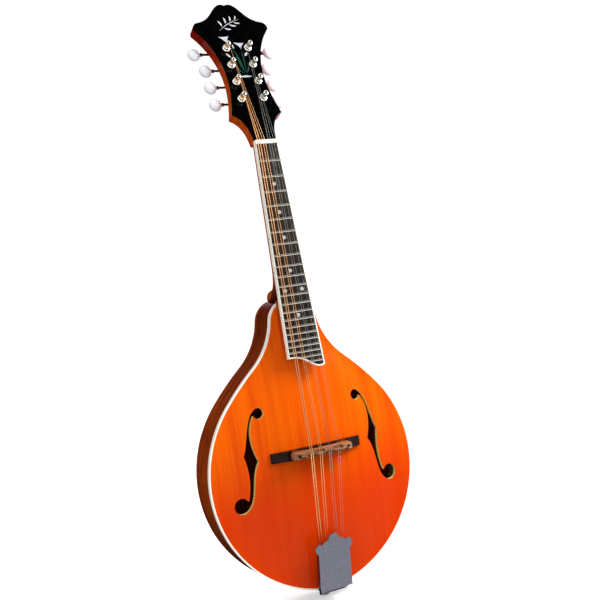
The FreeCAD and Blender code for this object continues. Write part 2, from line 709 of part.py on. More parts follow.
def worm_gear():
    """The pinion on a post: slightly slanted teeth to suit the worm's lead."""
    half_face = 1.1
    slant = half_face * WORM_LEAD / (2 * math.pi * WORM_PITCH_R) / GEAR_PITCH_R
    wires = []
    for y, turn in ((WORM_DEPTH - half_face, -slant), (WORM_DEPTH + half_face, slant)):
        points = []
        for tooth in range(GEAR_TEETH):
            middle = 2 * math.pi * tooth / GEAR_TEETH + turn
            for radius, half in ((2.76, -0.38), (3.72, -0.17), (3.72, 0.17), (2.76, 0.38)):
                angle = middle + half / radius
                points.append(Vec(radius * math.sin(angle), y, radius * math.cos(angle)))
        points.append(points[0])
        wires.append(Part.makePolygon(points))
    return Part.makeLoft(wires, True, True)


def tuner_post():
    """A string post with its cross hole, grooved barrel, round cap and pinion."""
    gear_front = WORM_DEPTH - 1.1
    gear_back = WORM_DEPTH + 1.1
    shank = turned(((0, gear_front), (POST_R, gear_front), (POST_R, -3.4), (2.4, -4.4), (2.4, -7.6),
                    (2.9, -8.6), (3.1, -10.2), (2.5, -11.6), (1.3, -12.2), (0, -12.3)))
    tail = turned(((0, gear_front), (2.2, gear_back), (2.2, gear_back + 0.7), (0, gear_back + 1.1)))
    hole = Part.makeCylinder(0.7, 10, Vec(-5, -STRING_ON_POST, 0), Vec(1, 0, 0))
    return shank.fuse([worm_gear(), tail]).cut(hole)


def worm_thread():
    """Three turns of a right-handed thread along +x, with a gap facing -z in the middle."""
    turns = 3
    root, tip = 1.1, 2.2
    helix = Part.makeHelix(WORM_LEAD, turns * WORM_LEAD, root)
    corners = [Vec(root, 0, -0.40), Vec(tip, 0, -0.20), Vec(tip, 0, 0.20), Vec(root, 0, 0.40)]
    profile = Part.makePolygon(corners + [corners[0]])
    thread = Part.Wire(helix).makePipeShell([profile], True, True)
    thread.Placement = Placement(Vec(-turns * WORM_LEAD / 2, 0, 0), Rotation(Vec(0, 1, 0), 90))
    return thread


def worm_shaft(sign, reach):
    """The worm and its shaft, along +x from the post's line; reach is where the button sits."""
    core = Part.makeCylinder(1.2, 7.0, Vec(-3.5, 0, 0), Vec(1, 0, 0))
    inner = Part.makeCylinder(SHAFT_R, 2.2, Vec(-sign * 3.4, 0, 0), Vec(-sign, 0, 0))
    outer = Part.makeCylinder(SHAFT_R, reach + 1.0 - 3.4, Vec(sign * 3.4, 0, 0), Vec(sign, 0, 0))
    collar = Part.makeCylinder(2.1, 1.0, Vec(sign * 5.2, 0, 0), Vec(sign, 0, 0))
    ferrule = Part.makeCone(2.4, 1.9, 2.6, Vec(sign * (reach - BUTTON_HALF[0] - 2.4), 0, 0), Vec(sign, 0, 0))
    return core.fuse([worm_thread(), inner, outer, collar, ferrule])


def button(sign):
    """An oval pearloid button, thinner than it is wide, centred on the origin."""
    ball = Part.makeSphere(1.0)
    stretch = FreeCAD.Matrix()
    stretch.scale(Vec(*BUTTON_HALF))
    body = ball.transformGeometry(stretch)
    bore = Part.makeCylinder(SHAFT_R, BUTTON_HALF[0] + 3, Vec(sign * 1.0, 0, 0), Vec(-sign, 0, 0))
    recess = Part.makeCone(2.4, 1.9, 2.6, Vec(-sign * (BUTTON_HALF[0] + 2.4), 0, 0), Vec(sign, 0, 0))
    return body.cut([bore, recess])


def tuners():
    """Writes the post, worm shaft and button of each of the eight tuners."""
    for sign, side_name in ((-1, "bass"), (1, "treble")):
        for row in range(4):
            label = "_" + side_name + "_" + str(row + 1)
            post = tuner_post()
            post.translate(Vec(sign * POST_X, 0, row_height(row)))
            save("tuner_post" + label, placed(post, HEAD_FRAME))
            seat = Vec(sign * POST_X, WORM_DEPTH, row_height(row) + WORM_OFFSET)
            reach = BUTTON_X[row] - POST_X
            shaft = worm_shaft(sign, reach)
            shaft.translate(seat)
            save("tuner_worm" + label, placed(shaft, HEAD_FRAME))
            knob = button(sign)
            knob.translate(seat + Vec(sign * reach, 0, 0))
            save("tuner_button" + label, placed(knob, HEAD_FRAME))


# ---- bridge ------------------------------------------------------------------------------------

def bridge_base():
    """The base bar, its foot carved to the soundboard's arch."""
    def level(height):
        return RIM_FRONT - height
    right = [(24.0, BASE_TOP), (38.0, BASE_TOP - 0.6), (BRIDGE_HALF - 1.0, BASE_END_TOP),
             (BRIDGE_HALF, BASE_END_TOP - 1.4), (BRIDGE_HALF, 2.0)]
    profile = right + [(-x, h) for x, h in reversed(right)]
    z0 = BRIDGE_Z - BRIDGE_WIDTH / 2
    points = [Vec(x, level(h), z0) for x, h in profile]
    points.append(points[0])
    bar = Part.Face(Part.makePolygon(points)).extrude(Vec(0, 0, BRIDGE_WIDTH))
    clear = TOP_OUTSIDE.copy()
    clear.translate(Vec(0, -SLIDE_GAP, 0))
    return bar.cut([clear] + studs(6.0))


def studs(buried):
    """The two upright studs, from inside the base to inside the saddle."""
    made = []
    for x in (-STUD_X, STUD_X):
        start = Vec(x, RIM_FRONT - BASE_TOP + buried, BRIDGE_Z)
        made.append(Part.makeCylinder(STUD_R, SADDLE_BOTTOM - BASE_TOP + buried + 5.0, start, Vec(0, -1, 0)))
    return made


def thumbwheel(x):
    """A knurled wheel on a stud, clear of the base and of the saddle."""
    y0 = RIM_FRONT - BASE_TOP - WHEEL_LOWER_GAP - WHEEL_THICK
    wheel = Part.makeCylinder(WHEEL_R, WHEEL_THICK, Vec(x, y0, BRIDGE_Z), Vec(0, 1, 0))
    grooves = []
    reach = WHEEL_R + 0.25
    for k in range(KNURLS):
        angle = 2 * math.pi * k / KNURLS
        spot = Vec(x + reach * math.cos(angle), y0 - 1, BRIDGE_Z + reach * math.sin(angle))
        grooves.append(Part.makeCylinder(0.55, WHEEL_THICK + 2, spot, Vec(0, 1, 0)))
    bore = Part.makeCylinder(STUD_R + FIT, WHEEL_THICK + 2, Vec(x, y0 - 1, BRIDGE_Z), Vec(0, 1, 0))
    return wheel.cut(grooves + [bore])


def saddle_scallops():
    """The hollows carved between the courses on the saddle's tail side."""
    made = []
    for x in (-26.5, -11.3, 0.0, 11.3, 26.5):
        start = Vec(x, RIM_FRONT - SADDLE_TOP - 1.0, BRIDGE_Z - 6.2)
        made.append(Part.makeCylinder(SCALLOP_R, SCALLOP_DEEP + 1.0, start, Vec(0, 1, 0)))
    return made


def saddle_plan():
    """The saddle's rounded ends, as a block that the bar is trimmed to."""
    y0, y1 = RIM_FRONT - SADDLE_TOP - 1.0, RIM_FRONT - SADDLE_BOTTOM + 1.0
    block = box(-SADDLE_HALF, SADDLE_HALF, y0, y1, BRIDGE_Z - SADDLE_FOOT_HALF, BRIDGE_Z + SADDLE_FOOT_HALF)
    corners = [e for e in block.Edges if e.BoundBox.YLength > 1]
    return block.makeFillet(SADDLE_FOOT_HALF - 0.8, corners)


def bridge_saddle():
    """The saddle: a foot with an arched cut-out, leaning cheeks, rounded ends and a stepped crown."""
    low, high = SADDLE_BOTTOM, SADDLE_TOP
    foot = SADDLE_FOOT_HALF
    side_view = [(-foot, low), (foot, low), (foot, low + 5.0), (2.6, high), (-2.6, high), (-foot, low + 5.0)]
    points = [Vec(-SADDLE_HALF, RIM_FRONT - h, BRIDGE_Z + z) for z, h in side_view]
    points.append(points[0])
    bar = Part.Face(Part.makePolygon(points)).extrude(Vec(2 * SADDLE_HALF, 0, 0))
    front = [(-SADDLE_HALF, low), (-SADDLE_HALF, low + 7.5), (-30.0, high - 2.0), (-23.5, high),
             (23.5, high), (30.0, high - 2.0), (SADDLE_HALF, low + 7.5), (SADDLE_HALF, low),
             (22.0, low), (16.0, low + 3.2), (-16.0, low + 3.2), (-22.0, low)]
    view = [Vec(x, RIM_FRONT - h, BRIDGE_Z - 10) for x, h in front]
    view.append(view[0])
    bar = bar.common(Part.Face(Part.makePolygon(view)).extrude(Vec(0, 0, 20))).common(saddle_plan())
    cuts = saddle_scallops()
    for x, z in ((-17.0, 1.0), (-5.7, -1.0), (5.7, 1.0), (17.0, -1.0)):
        for side_sign in (1, -1):
            depth = 1.8 - side_sign * z
            ramp = box(x - 5.2, x + 5.2, RIM_FRONT - high - 1, RIM_FRONT - high + 4.5, 0, 5)
            ramp.translate(Vec(0, 0, BRIDGE_Z + 2.6 - depth) if side_sign > 0
                           else Vec(0, 0, BRIDGE_Z - 2.6 + depth - 5))
            ramp.rotate(Vec(x, RIM_FRONT - high, BRIDGE_Z), Vec(1, 0, 0), side_sign * 14.0)
            cuts.append(ramp)
    bores = [Part.makeCylinder(STUD_R + 0.1, 30, Vec(x, RIM_FRONT - low + 1, BRIDGE_Z), Vec(0, -1, 0))
             for x in (-STUD_X, STUD_X)]
    return bar.cut(cuts + bores + string_grooves(0.1))


# ---- tailpiece ---------------------------------------------------------------------------------

def cover_edges():
    """The cover's outline: straight sides, two rounded ears and a three-lobed head."""
    half = COVER_HALF
    ear = [(half - 0.6, 44.6), (half + 2.6, 48.4), (half + 2.6, 53.2), (18.4, 56.4), (15.0, 54.6)]
    bump = [(15.0, 54.6), (12.4, 57.4), (9.4, 58.6), (7.4, 58.5)]
    lobe = [(7.4, 58.5), (5.8, 62.2), (3.4, 65.2), (0.0, 66.3)]
    edges = [line((-half, 0), (half, 0))]
    for sign in (1, -1):
        edges.append(line((sign * half, 0), (sign * (half - 0.6), 44.6)))
    for run in (ear, bump, lobe):
        edges += [spline(run), spline(mirrored(run))]
    return edges


def tailpiece_cover():
    """The sliding cover: a flat sheet with folded sides and a folded lower edge."""
    sheet = plate(cover_edges(), 0, COVER_THICK)
    half = COVER_HALF
    folds = [box(-half, half, 0, 4.6, 0, COVER_THICK)]
    for sign in (1, -1):
        corners = [(half, 0), (half - 0.6, 44.0), (half - 1.6, 44.0), (half - 1.0, 0)]
        corners = [(sign * x, z) for x, z in corners]
        edges = [line(corners[k], corners[(k + 1) % 4]) for k in range(4)]
        folds.append(plate(edges, 0, 6.5))
    return placed(sheet.fuse(folds).removeSplitter(), COVER_FRAME)


def hook_point(x):
    """Where a string leaves its hook, in the part's frame."""
    height = HOOK_ABOVE_TAIL - 3.0
    return COVER_FRAME.multVec(Vec(x, 4.3, height))


def tail_plane(y0, y1, x, z0, z1):
    return box(-x, x, y0, y1, z0, z1)


def tail_screws():
    """The wood screws of the tailpiece, as solids with their heads outside."""
    made = []
    for x, y in ((-9.0, RIM_FRONT + 12.0), (9.0, RIM_FRONT + 12.0), (0.0, RIM_BACK - 10.5)):
        head = [(0, 0), (2.6, 0), (2.4, 0.9), (1.3, 1.5), (0, 1.6)]
        points = [Vec(r, 0, BODY_TAIL - 1.2 - h) for r, h in head]
        points.append(points[0])
        cap = Part.Face(Part.makePolygon(points)).revolve(Vec(0, 0, 0), Vec(0, 0, 1), 360)
        shank = Part.makeCylinder(1.1, 12.0, Vec(0, 0, BODY_TAIL - 1.2), Vec(0, 0, 1))
        screw = cap.fuse(shank)
        screw.translate(Vec(x, y, 0))
        made.append(screw)
    return made


def tailpiece_base():
    """The bracket: a strap screwed to the tail, bent over to carry the hooks under the cover."""
    bend_y = RIM_FRONT - COVER_FOOT + 6.0
    strap = tail_plane(bend_y, RIM_BACK - 4.0, 13.0, BODY_TAIL - 1.2, BODY_TAIL)
    deck = placed(box(-16.5, 16.5, 5.4, 6.6, -4.4, 50.0), COVER_FRAME)
    web = tail_plane(bend_y - 0.3, bend_y + 3.0, 13.0, BODY_TAIL - 1.2, BODY_TAIL)
    pegs = []
    for _, _, _, x, _, _ in STRINGS:
        foot = Vec(x, 6.0, HOOK_ABOVE_TAIL - 4.6)
        tip = Vec(x, 2.6, HOOK_ABOVE_TAIL - 6.2)
        pegs.append(placed(rod(foot, tip, 0.7).fuse(Part.makeSphere(1.0, tip)), COVER_FRAME))
    body = strap.fuse([web, deck] + pegs)
    curved = body_prism(0, RIM_FRONT - 40, RIM_BACK + 40)
    wood = curved.common(box(-60, 60, RIM_FRONT - 0.5, RIM_BACK + 5, BODY_TAIL, 60))
    return body.cut([wood, end_screw()] + tail_screws())


def end_screw():
    """The shank of the end button."""
    return Part.makeCylinder(2.0, 22.0, Vec(0, 0, BODY_TAIL - 1.2), Vec(0, 0, 1))


def end_button():
    """The strap button: a flat-ended head, a waist and a base flange, on its shank."""
    profile = [(0, 0), (5.0, 0), (6.2, 0.8), (6.2, 2.4), (4.6, 3.8), (3.5, 5.4), (3.5, 7.4), (5.2, 9.6),
               (5.6, 10.8), (0, 10.8)]
    points = [Vec(r, 0, z) for r, z in profile]
    points.append(points[0])
    body = Part.Face(Part.makePolygon(points)).revolve(Vec(0, 0, 0), Vec(0, 0, 1), 360)
    return body.fuse(end_screw()).removeSplitter()


# ---- strings -----------------------------------------------------------------------------------

def saddle_point(x, diameter):
    """The string's middle over the saddle's crown, just clear of it."""
    return Vec(x, RIM_FRONT - SADDLE_TOP - diameter / 2 - 0.06, BRIDGE_Z + 1.0)


def post_touch(x, sign, row, radius):
    """Where a string meets the inner side of its post, in the headstock frame."""
    reach = 2.4 + radius + 0.1
    start = Vec(x, 0, NUT_THICK)
    centre = Vec(sign * POST_X, 0, row_height(row))
    away = centre - start
    lean = math.asin(reach / away.Length)
    heading = math.atan2(away.x, away.z) - sign * lean
    run = away.Length * math.cos(lean)
    return Vec(start.x + run * math.sin(heading), -STRING_ON_POST, start.z + run * math.cos(heading))


def string_path(x_nut, x_saddle, x_hook, row, diameter):
    """The string's bends: hook, saddle, both edges of the nut, and its post."""
    sign = -1 if x_nut < 0 else 1
    over_nut = Vec(x_nut, nut_string_y(diameter), 0.3)
    behind_nut = Vec(x_nut, nut_string_y(diameter) + 0.45, NUT_THICK + 0.3)
    touch = post_touch(x_nut, sign, row, diameter / 2)
    return [hook_point(x_hook), saddle_point(x_saddle, diameter), BOARD_FRAME.multVec(over_nut),
            BOARD_FRAME.multVec(behind_nut), HEAD_FRAME.multVec(touch)]


def string_solid(path, radius):
    """A round wire through the path, with rounded bends."""
    whole = rod(path[0], path[1], radius)
    for k in range(1, len(path) - 1):
        whole = whole.fuse(Part.makeSphere(radius, path[k])).fuse(rod(path[k], path[k + 1], radius))
    return whole


def string_grooves(clearance):
    """The strings' paths, a little fatter, to cut their grooves in the nut and the saddle."""
    return [string_solid(string_path(*row[1:]), row[5] / 2 + clearance) for row in STRINGS]


def strings(kind):
    made = [string_solid(string_path(*row[1:]), row[5] / 2) for row in STRINGS if row[0] == kind]
    return Part.makeCompound([solid for shape in made for solid in shape.Solids])


# ---- build -------------------------------------------------------------------------------------

TOP_OUTSIDE = arch_block(RIM_FRONT, -TOP_ARCH, 60)
TOP_INSIDE = arch_block(RIM_FRONT + TOP_EDGE, -TOP_ARCH * GRADUATION, 60)


def main():
    os.makedirs("parts", exist_ok=True)
    save("top_plate", top_plate())
    save("back_plate", back_plate())
    save("side_bass", side(-1))
    save("side_treble", side(1))
    save("top_binding", top_binding())
    save("linings", linings())
    save("neck_block", neck_block())
    save("tail_block", tail_block())
    save("tone_bars", tone_bars())
    save("neck", neck())
    save("neck_bar", neck_bar())
    save("fingerboard_riser", fingerboard_riser())
    save("fingerboard", fingerboard())
    save("fingerboard_binding", fingerboard_binding())
    save("frets", frets())
    save("position_dots", placed(Part.makeCompound(dots()), BOARD_FRAME))
    save("nut", nut())
    save("headstock_veneer", headstock_veneer())
    save("headstock_pearl", placed(Part.makeCompound(pearl_pieces()), HEAD_FRAME))
    save("headstock_leaves", placed(Part.makeCompound(leaf_pieces()), HEAD_FRAME))
    save("post_bushings", bushings())
    save("tuner_plate_bass", tuner_plate(-1))
    save("tuner_plate_treble", tuner_plate(1))
    save("tuner_plate_screws", plate_screws())
    tuners()
    save("bridge_base", bridge_base())
    save("bridge_studs", Part.makeCompound(studs(6.0)))
    save("thumbwheel_bass", thumbwheel(-STUD_X))
    save("thumbwheel_treble", thumbwheel(STUD_X))
    save("bridge_saddle", bridge_saddle())
    save("tailpiece_base", tailpiece_base())
    save("tailpiece_cover", tailpiece_cover())
    save("tailpiece_screws", Part.makeCompound(tail_screws()))
    save("end_button", end_button())
    save("strings_wound", strings("wound"))
    save("strings_plain", strings("plain"))


main()
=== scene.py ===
"""Looks of an eight-string carved-top mandolin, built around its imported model.

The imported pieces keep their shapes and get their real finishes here. The strings, their turns
round the posts, their end loops and a few small fittings are built as new pieces.
"""

import json
import logging
import math
from collections.abc import Callable, Mapping, Sequence
from dataclasses import dataclass, field
from enum import Enum

import bpy
from mathutils import Matrix, Vector

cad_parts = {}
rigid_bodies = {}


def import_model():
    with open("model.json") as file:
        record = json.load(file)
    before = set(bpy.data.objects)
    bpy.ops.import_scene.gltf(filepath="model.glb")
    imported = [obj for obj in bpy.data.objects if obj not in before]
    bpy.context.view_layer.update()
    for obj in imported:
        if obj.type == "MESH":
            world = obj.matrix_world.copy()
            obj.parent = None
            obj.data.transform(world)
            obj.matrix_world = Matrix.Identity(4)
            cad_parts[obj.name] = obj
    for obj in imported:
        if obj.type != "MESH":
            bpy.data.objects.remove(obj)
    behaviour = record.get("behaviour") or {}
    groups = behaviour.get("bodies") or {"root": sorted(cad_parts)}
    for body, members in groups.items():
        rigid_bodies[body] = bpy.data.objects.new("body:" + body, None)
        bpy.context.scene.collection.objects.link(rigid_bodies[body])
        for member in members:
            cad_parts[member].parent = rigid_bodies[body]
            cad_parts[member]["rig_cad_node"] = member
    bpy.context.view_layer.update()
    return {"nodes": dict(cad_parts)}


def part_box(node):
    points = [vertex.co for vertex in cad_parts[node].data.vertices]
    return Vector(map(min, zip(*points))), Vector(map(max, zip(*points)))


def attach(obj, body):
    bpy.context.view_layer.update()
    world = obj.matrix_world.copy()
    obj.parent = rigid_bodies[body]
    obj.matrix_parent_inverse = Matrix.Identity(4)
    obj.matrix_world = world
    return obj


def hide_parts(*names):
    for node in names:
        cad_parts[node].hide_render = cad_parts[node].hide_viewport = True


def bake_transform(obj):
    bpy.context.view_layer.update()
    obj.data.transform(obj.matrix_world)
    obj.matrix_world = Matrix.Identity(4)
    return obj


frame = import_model()

LOG = logging.getLogger("mandolin")
MM = 0.001
ROOT = "body_and_neck"

# Frames of the instrument, shared with the model: the fingerboard leans back from the rim's plane,
# the headstock leans back from the fingerboard, and the tailpiece cover slopes towards the tail.
BOARD = Matrix.Translation((0, -19.8 * MM, 526.2 * MM)) @ Matrix.Rotation(math.radians(-5.6), 4, "X")
HEAD = BOARD @ Matrix.Translation((0, 1.0 * MM, 0)) @ Matrix.Rotation(math.radians(-15.0), 4, "X")
COVER = Matrix.Translation((0, -37.0 * MM, 15.0 * MM)) @ Matrix.Rotation(math.radians(10.25), 4, "X")


# ---- small tools --------------------------------------------------------------------------------


def linear(colour: str) -> tuple[float, float, float, float]:
    """Turns an sRGB hex colour to the linear one that shaders take.

    Args:
        colour: A colour such as "#c44800".

    Returns:
        Red, green, blue and an alpha of 1.
    """
    parts = [int(colour[k : k + 2], 16) / 255 for k in (1, 3, 5)]
    red, green, blue = (c / 12.92 if c <= 0.04045 else ((c + 0.055) / 1.055) ** 2.4 for c in parts)
    return red, green, blue, 1.0


def add_node(
    tree: bpy.types.NodeTree,
    kind: str,
    inputs: Mapping[str | int, object] | None = None,
    stops: Sequence[tuple[float, str]] = (),
    **settings: object,
) -> bpy.types.Node:
    """Adds one shader node with its settings and links.

    Args:
        tree: The node tree that takes the node.
        kind: The node's type, without its "ShaderNode" prefix.
        inputs: A value, or another node's output, for each input by name or number.
        stops: The places and hex colours of a colour ramp.
        **settings: The node's own options.

    Returns:
        The new node.
    """
    node = tree.nodes.new("ShaderNode" + kind)
    for name, value in settings.items():
        setattr(node, name, value)
    for name, value in (inputs or {}).items():
        if isinstance(value, bpy.types.NodeSocket):
            tree.links.new(value, node.inputs[name])
        else:
            node.inputs[name].default_value = value
    for number, (place, colour) in enumerate(stops):
        ramp = node.color_ramp.elements
        stop = ramp[number] if number < 2 else ramp.new(place)
        stop.position = place
        stop.color = linear(colour)
    return node


def mesh_object(name: str, points: Sequence[Vector], faces: Sequence[Sequence[int]]) -> bpy.types.Object:
    """Makes a smooth mesh object from points and faces.

    Args:
        name: The piece's name.
        points: Its points, in metres.
        faces: The point numbers of each face.

    Returns:
        The object, linked to the scene.
    """
    mesh = bpy.data.meshes.new(name)
    mesh.from_pydata([tuple(p) for p in points], [], [tuple(f) for f in faces])
    mesh.polygons.foreach_set("use_smooth", [True] * len(mesh.polygons))
    mesh.update()
    piece = bpy.data.objects.new(name, mesh)
    bpy.context.scene.collection.objects.link(piece)
    return piece


def tube(
    name: str, path: Sequence[Vector], radius: float, sides: int = 12, closed: bool = False
) -> bpy.types.Object:
    """Makes a round wire along a path, and stores how far along it each point lies.

    Args:
        name: The piece's name.
        path: The wire's centre line, in metres.
        radius: The wire's radius.
        sides: How many points go round it.
        closed: Whether the last point joins the first.

    Returns:
        The wire, with its distances in the attribute "along".
    """
    count = len(path)
    points: list[Vector] = []
    distances: list[float] = []
    travelled = 0.0
    across = Vector((1, 0, 0))
    for k, here in enumerate(path):
        before = path[k - 1] if k or closed else here
        after = path[(k + 1) % count] if k < count - 1 or closed else here
        heading = (after - here).normalized() + (here - before).normalized()
        heading.normalize()
        across = across - heading * across.dot(heading)
        if across.length < 0.1:
            across = heading.orthogonal()
        across.normalize()
        up = heading.cross(across)
        travelled += (here - path[k - 1]).length if k else 0.0
        for turn in range(sides):
            angle = 2 * math.pi * turn / sides
            points.append(here + (across * math.cos(angle) + up * math.sin(angle)) * radius)
            distances.append(travelled)
    faces: list[list[int]] = []
    for k in range(count if closed else count - 1):
        ring, following = k * sides, ((k + 1) % count) * sides
        for turn in range(sides):
            beside = (turn + 1) % sides
            faces.append([ring + turn, ring + beside, following + beside, following + turn])
    if not closed:
        faces.append(list(range(sides - 1, -1, -1)))
        faces.append([(count - 1) * sides + turn for turn in range(sides)])
    wire = mesh_object(name, points, faces)
    wire.data.attributes.new("along", "FLOAT", "POINT").data.foreach_set("value", distances)
    return wire


def lathe(
    name: str, profile: Sequence[tuple[float, float]], place: Matrix, sides: int = 32
) -> bpy.types.Object:
    """Makes a turned piece from a profile about its own z axis.

    Args:
        name: The piece's name.
        profile: Radius and height of each corner, in millimetres, from one end to the other.
        place: Where the piece's own axes stand.
        sides: How many points go round it.

    Returns:
        The turned piece.
    """
    points: list[Vector] = []
    for radius, height in profile:
        for turn in range(sides):
            angle = 2 * math.pi * turn / sides
            spot = Vector((radius * math.cos(angle), radius * math.sin(angle), height)) * MM
            points.append(place @ spot)
    faces: list[list[int]] = []
    for k in range(len(profile) - 1):
        for turn in range(sides):
            beside = (turn + 1) % sides
            low, high = k * sides, (k + 1) * sides
            faces.append([low + turn, low + beside, high + beside, high + turn])
    faces.append(list(range(sides - 1, -1, -1)))
    faces.append([(len(profile) - 1) * sides + turn for turn in range(sides)])
    return mesh_object(name, points, faces)


# ---- finishes -----------------------------------------------------------------------------------


class Grain(Enum):
    """The way the wood's grain runs on a piece."""

    UP = "up the body and neck"
    ROUND_RIM = "round the bent sides"
    ACROSS = "across the body, along the bridge"


@dataclass(frozen=True)
class Finish:
    """What every real material has: how rough, how shiny and how clear its skin is."""

    name: str
    slot: str
    roughness: float
    metallic: float = 0.0
    specular: float = 0.5
    coat: float = 0.0
    rounding: float = 0.0

    def material(self) -> bpy.types.Material:
        """Returns this finish as a node material, made once."""
        made = bpy.data.materials.get(self.name)
        if made is None:
            made = bpy.data.materials.new(self.name)
            made.use_nodes = True
            shader = made.node_tree.nodes["Principled BSDF"]
            shader.inputs["Roughness"].default_value = self.roughness
            shader.inputs["Metallic"].default_value = self.metallic
            shader.inputs["Specular IOR Level"].default_value = self.specular
            shader.inputs["Coat Weight"].default_value = self.coat
            shader.inputs["Coat Roughness"].default_value = 0.05
            self.paint(made.node_tree, shader)
        return made

    def paint(self, tree: bpy.types.NodeTree, shader: bpy.types.Node) -> None:
        """Adds the nodes of the finish's colour, gloss and relief.

        Args:
            tree: The material's node tree.
            shader: Its surface shader.
        """
        raise NotImplementedError

    def relieve(
        self, tree: bpy.types.NodeTree, shader: bpy.types.Node, height: bpy.types.NodeSocket, depth: float
    ) -> None:
        """Gives the surface a fine relief, and edges that are softened by hand.

        Args:
            tree: The material's node tree.
            shader: Its surface shader.
            height: The output that holds the relief, from 0 to 1.
            depth: The relief's real depth, in metres.
        """
        inputs: dict[str | int, object] = {"Height": height, "Distance": depth, "Strength": 1.0}
        if self.rounding:
            inputs["Normal"] = add_node(tree, "Bevel", {"Radius": self.rounding}, samples=4).outputs[0]
        bump = add_node(tree, "Bump", inputs)
        tree.links.new(bump.outputs[0], shader.inputs["Normal"])

    def dress(self, *pieces: bpy.types.Object) -> None:
        """Puts the finish on new pieces or on packed ones.

        Args:
            *pieces: The objects that take it.
        """
        for piece in pieces:
            if "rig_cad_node" in piece:
                for place in piece.material_slots:
                    place.material = self.material()
            else:
                piece.data.materials.append(self.material())


@dataclass(frozen=True)
class AmberSpruce(Finish):
    """Carved spruce under amber lacquer: straight fine grain that glows orange, with painted shade towards
    the tail.
    """

    ring: float = 1.5 * MM
    band: float = 14.0 * MM
    glow: str = "#f06200"
    deep: str = "#de4c00"
    # Painted shade: the darker, redder colour that the lower soundboard is mixed towards.
    tail: str = "#d42c00"
    bare: str = "#e6cc7c"

    def paint(self, tree: bpy.types.NodeTree, shader: bpy.types.Node) -> None:
        """Adds growth rings, broad bands, painted shade towards the tail and the bare wood of the holes'
        walls.

        Args:
            tree: The material's node tree.
            shader: Its surface shader.
        """
        coordinates = add_node(tree, "TexCoord")
        place = coordinates.outputs["Object"]
        narrow = add_node(tree, "Mapping", {"Vector": place, "Scale": (1 / self.ring, 0, 0.012 / self.ring)})
        rings = add_node(tree, "TexNoise", {"Vector": narrow.outputs[0], "Scale": 1.0, "Detail": 2.0})
        wide = add_node(tree, "Mapping", {"Vector": place, "Scale": (1 / self.band, 0, 0.06 / self.band)})
        bands = add_node(tree, "TexNoise", {"Vector": wide.outputs[0], "Scale": 1.0, "Detail": 1.0})
        both = add_node(
            tree, "Mix", {0: 0.55, 2: rings.outputs["Fac"], 3: bands.outputs["Fac"]}, data_type="FLOAT"
        )
        wood = add_node(
            tree, "ValToRGB", {"Fac": both.outputs[0]}, stops=((0.36, self.deep), (0.56, self.glow))
        )
        # Painted shade: below about 215 mm the colour is mixed, up to 80%, towards the darker tail colour.
        height = add_node(tree, "SeparateXYZ", {"Vector": place})
        low = add_node(
            tree,
            "MapRange",
            {"Value": height.outputs["Z"], "From Min": 0.215, "From Max": 0.1},
            interpolation_type="SMOOTHSTEP",
        )
        shade_share = add_node(tree, "Math", {0: low.outputs[0], 1: 0.8}, operation="MULTIPLY")
        lacquered = add_node(
            tree,
            "Mix",
            {0: shade_share.outputs[0], 6: wood.outputs[0], 7: linear(self.tail)},
            data_type="RGBA",
        )
        facing = add_node(tree, "SeparateXYZ", {"Vector": coordinates.outputs["Normal"]})
        wall = add_node(tree, "MapRange", {"Value": facing.outputs["Y"], "From Min": -0.6, "From Max": -0.4})
        whole = add_node(
            tree,
            "Mix",
            {0: wall.outputs[0], 6: lacquered.outputs[2], 7: linear(self.bare)},
            data_type="RGBA",
        )
        tree.links.new(whole.outputs[2], shader.inputs["Base Color"])
        self.relieve(tree, shader, rings.outputs["Fac"], 0.012 * MM)


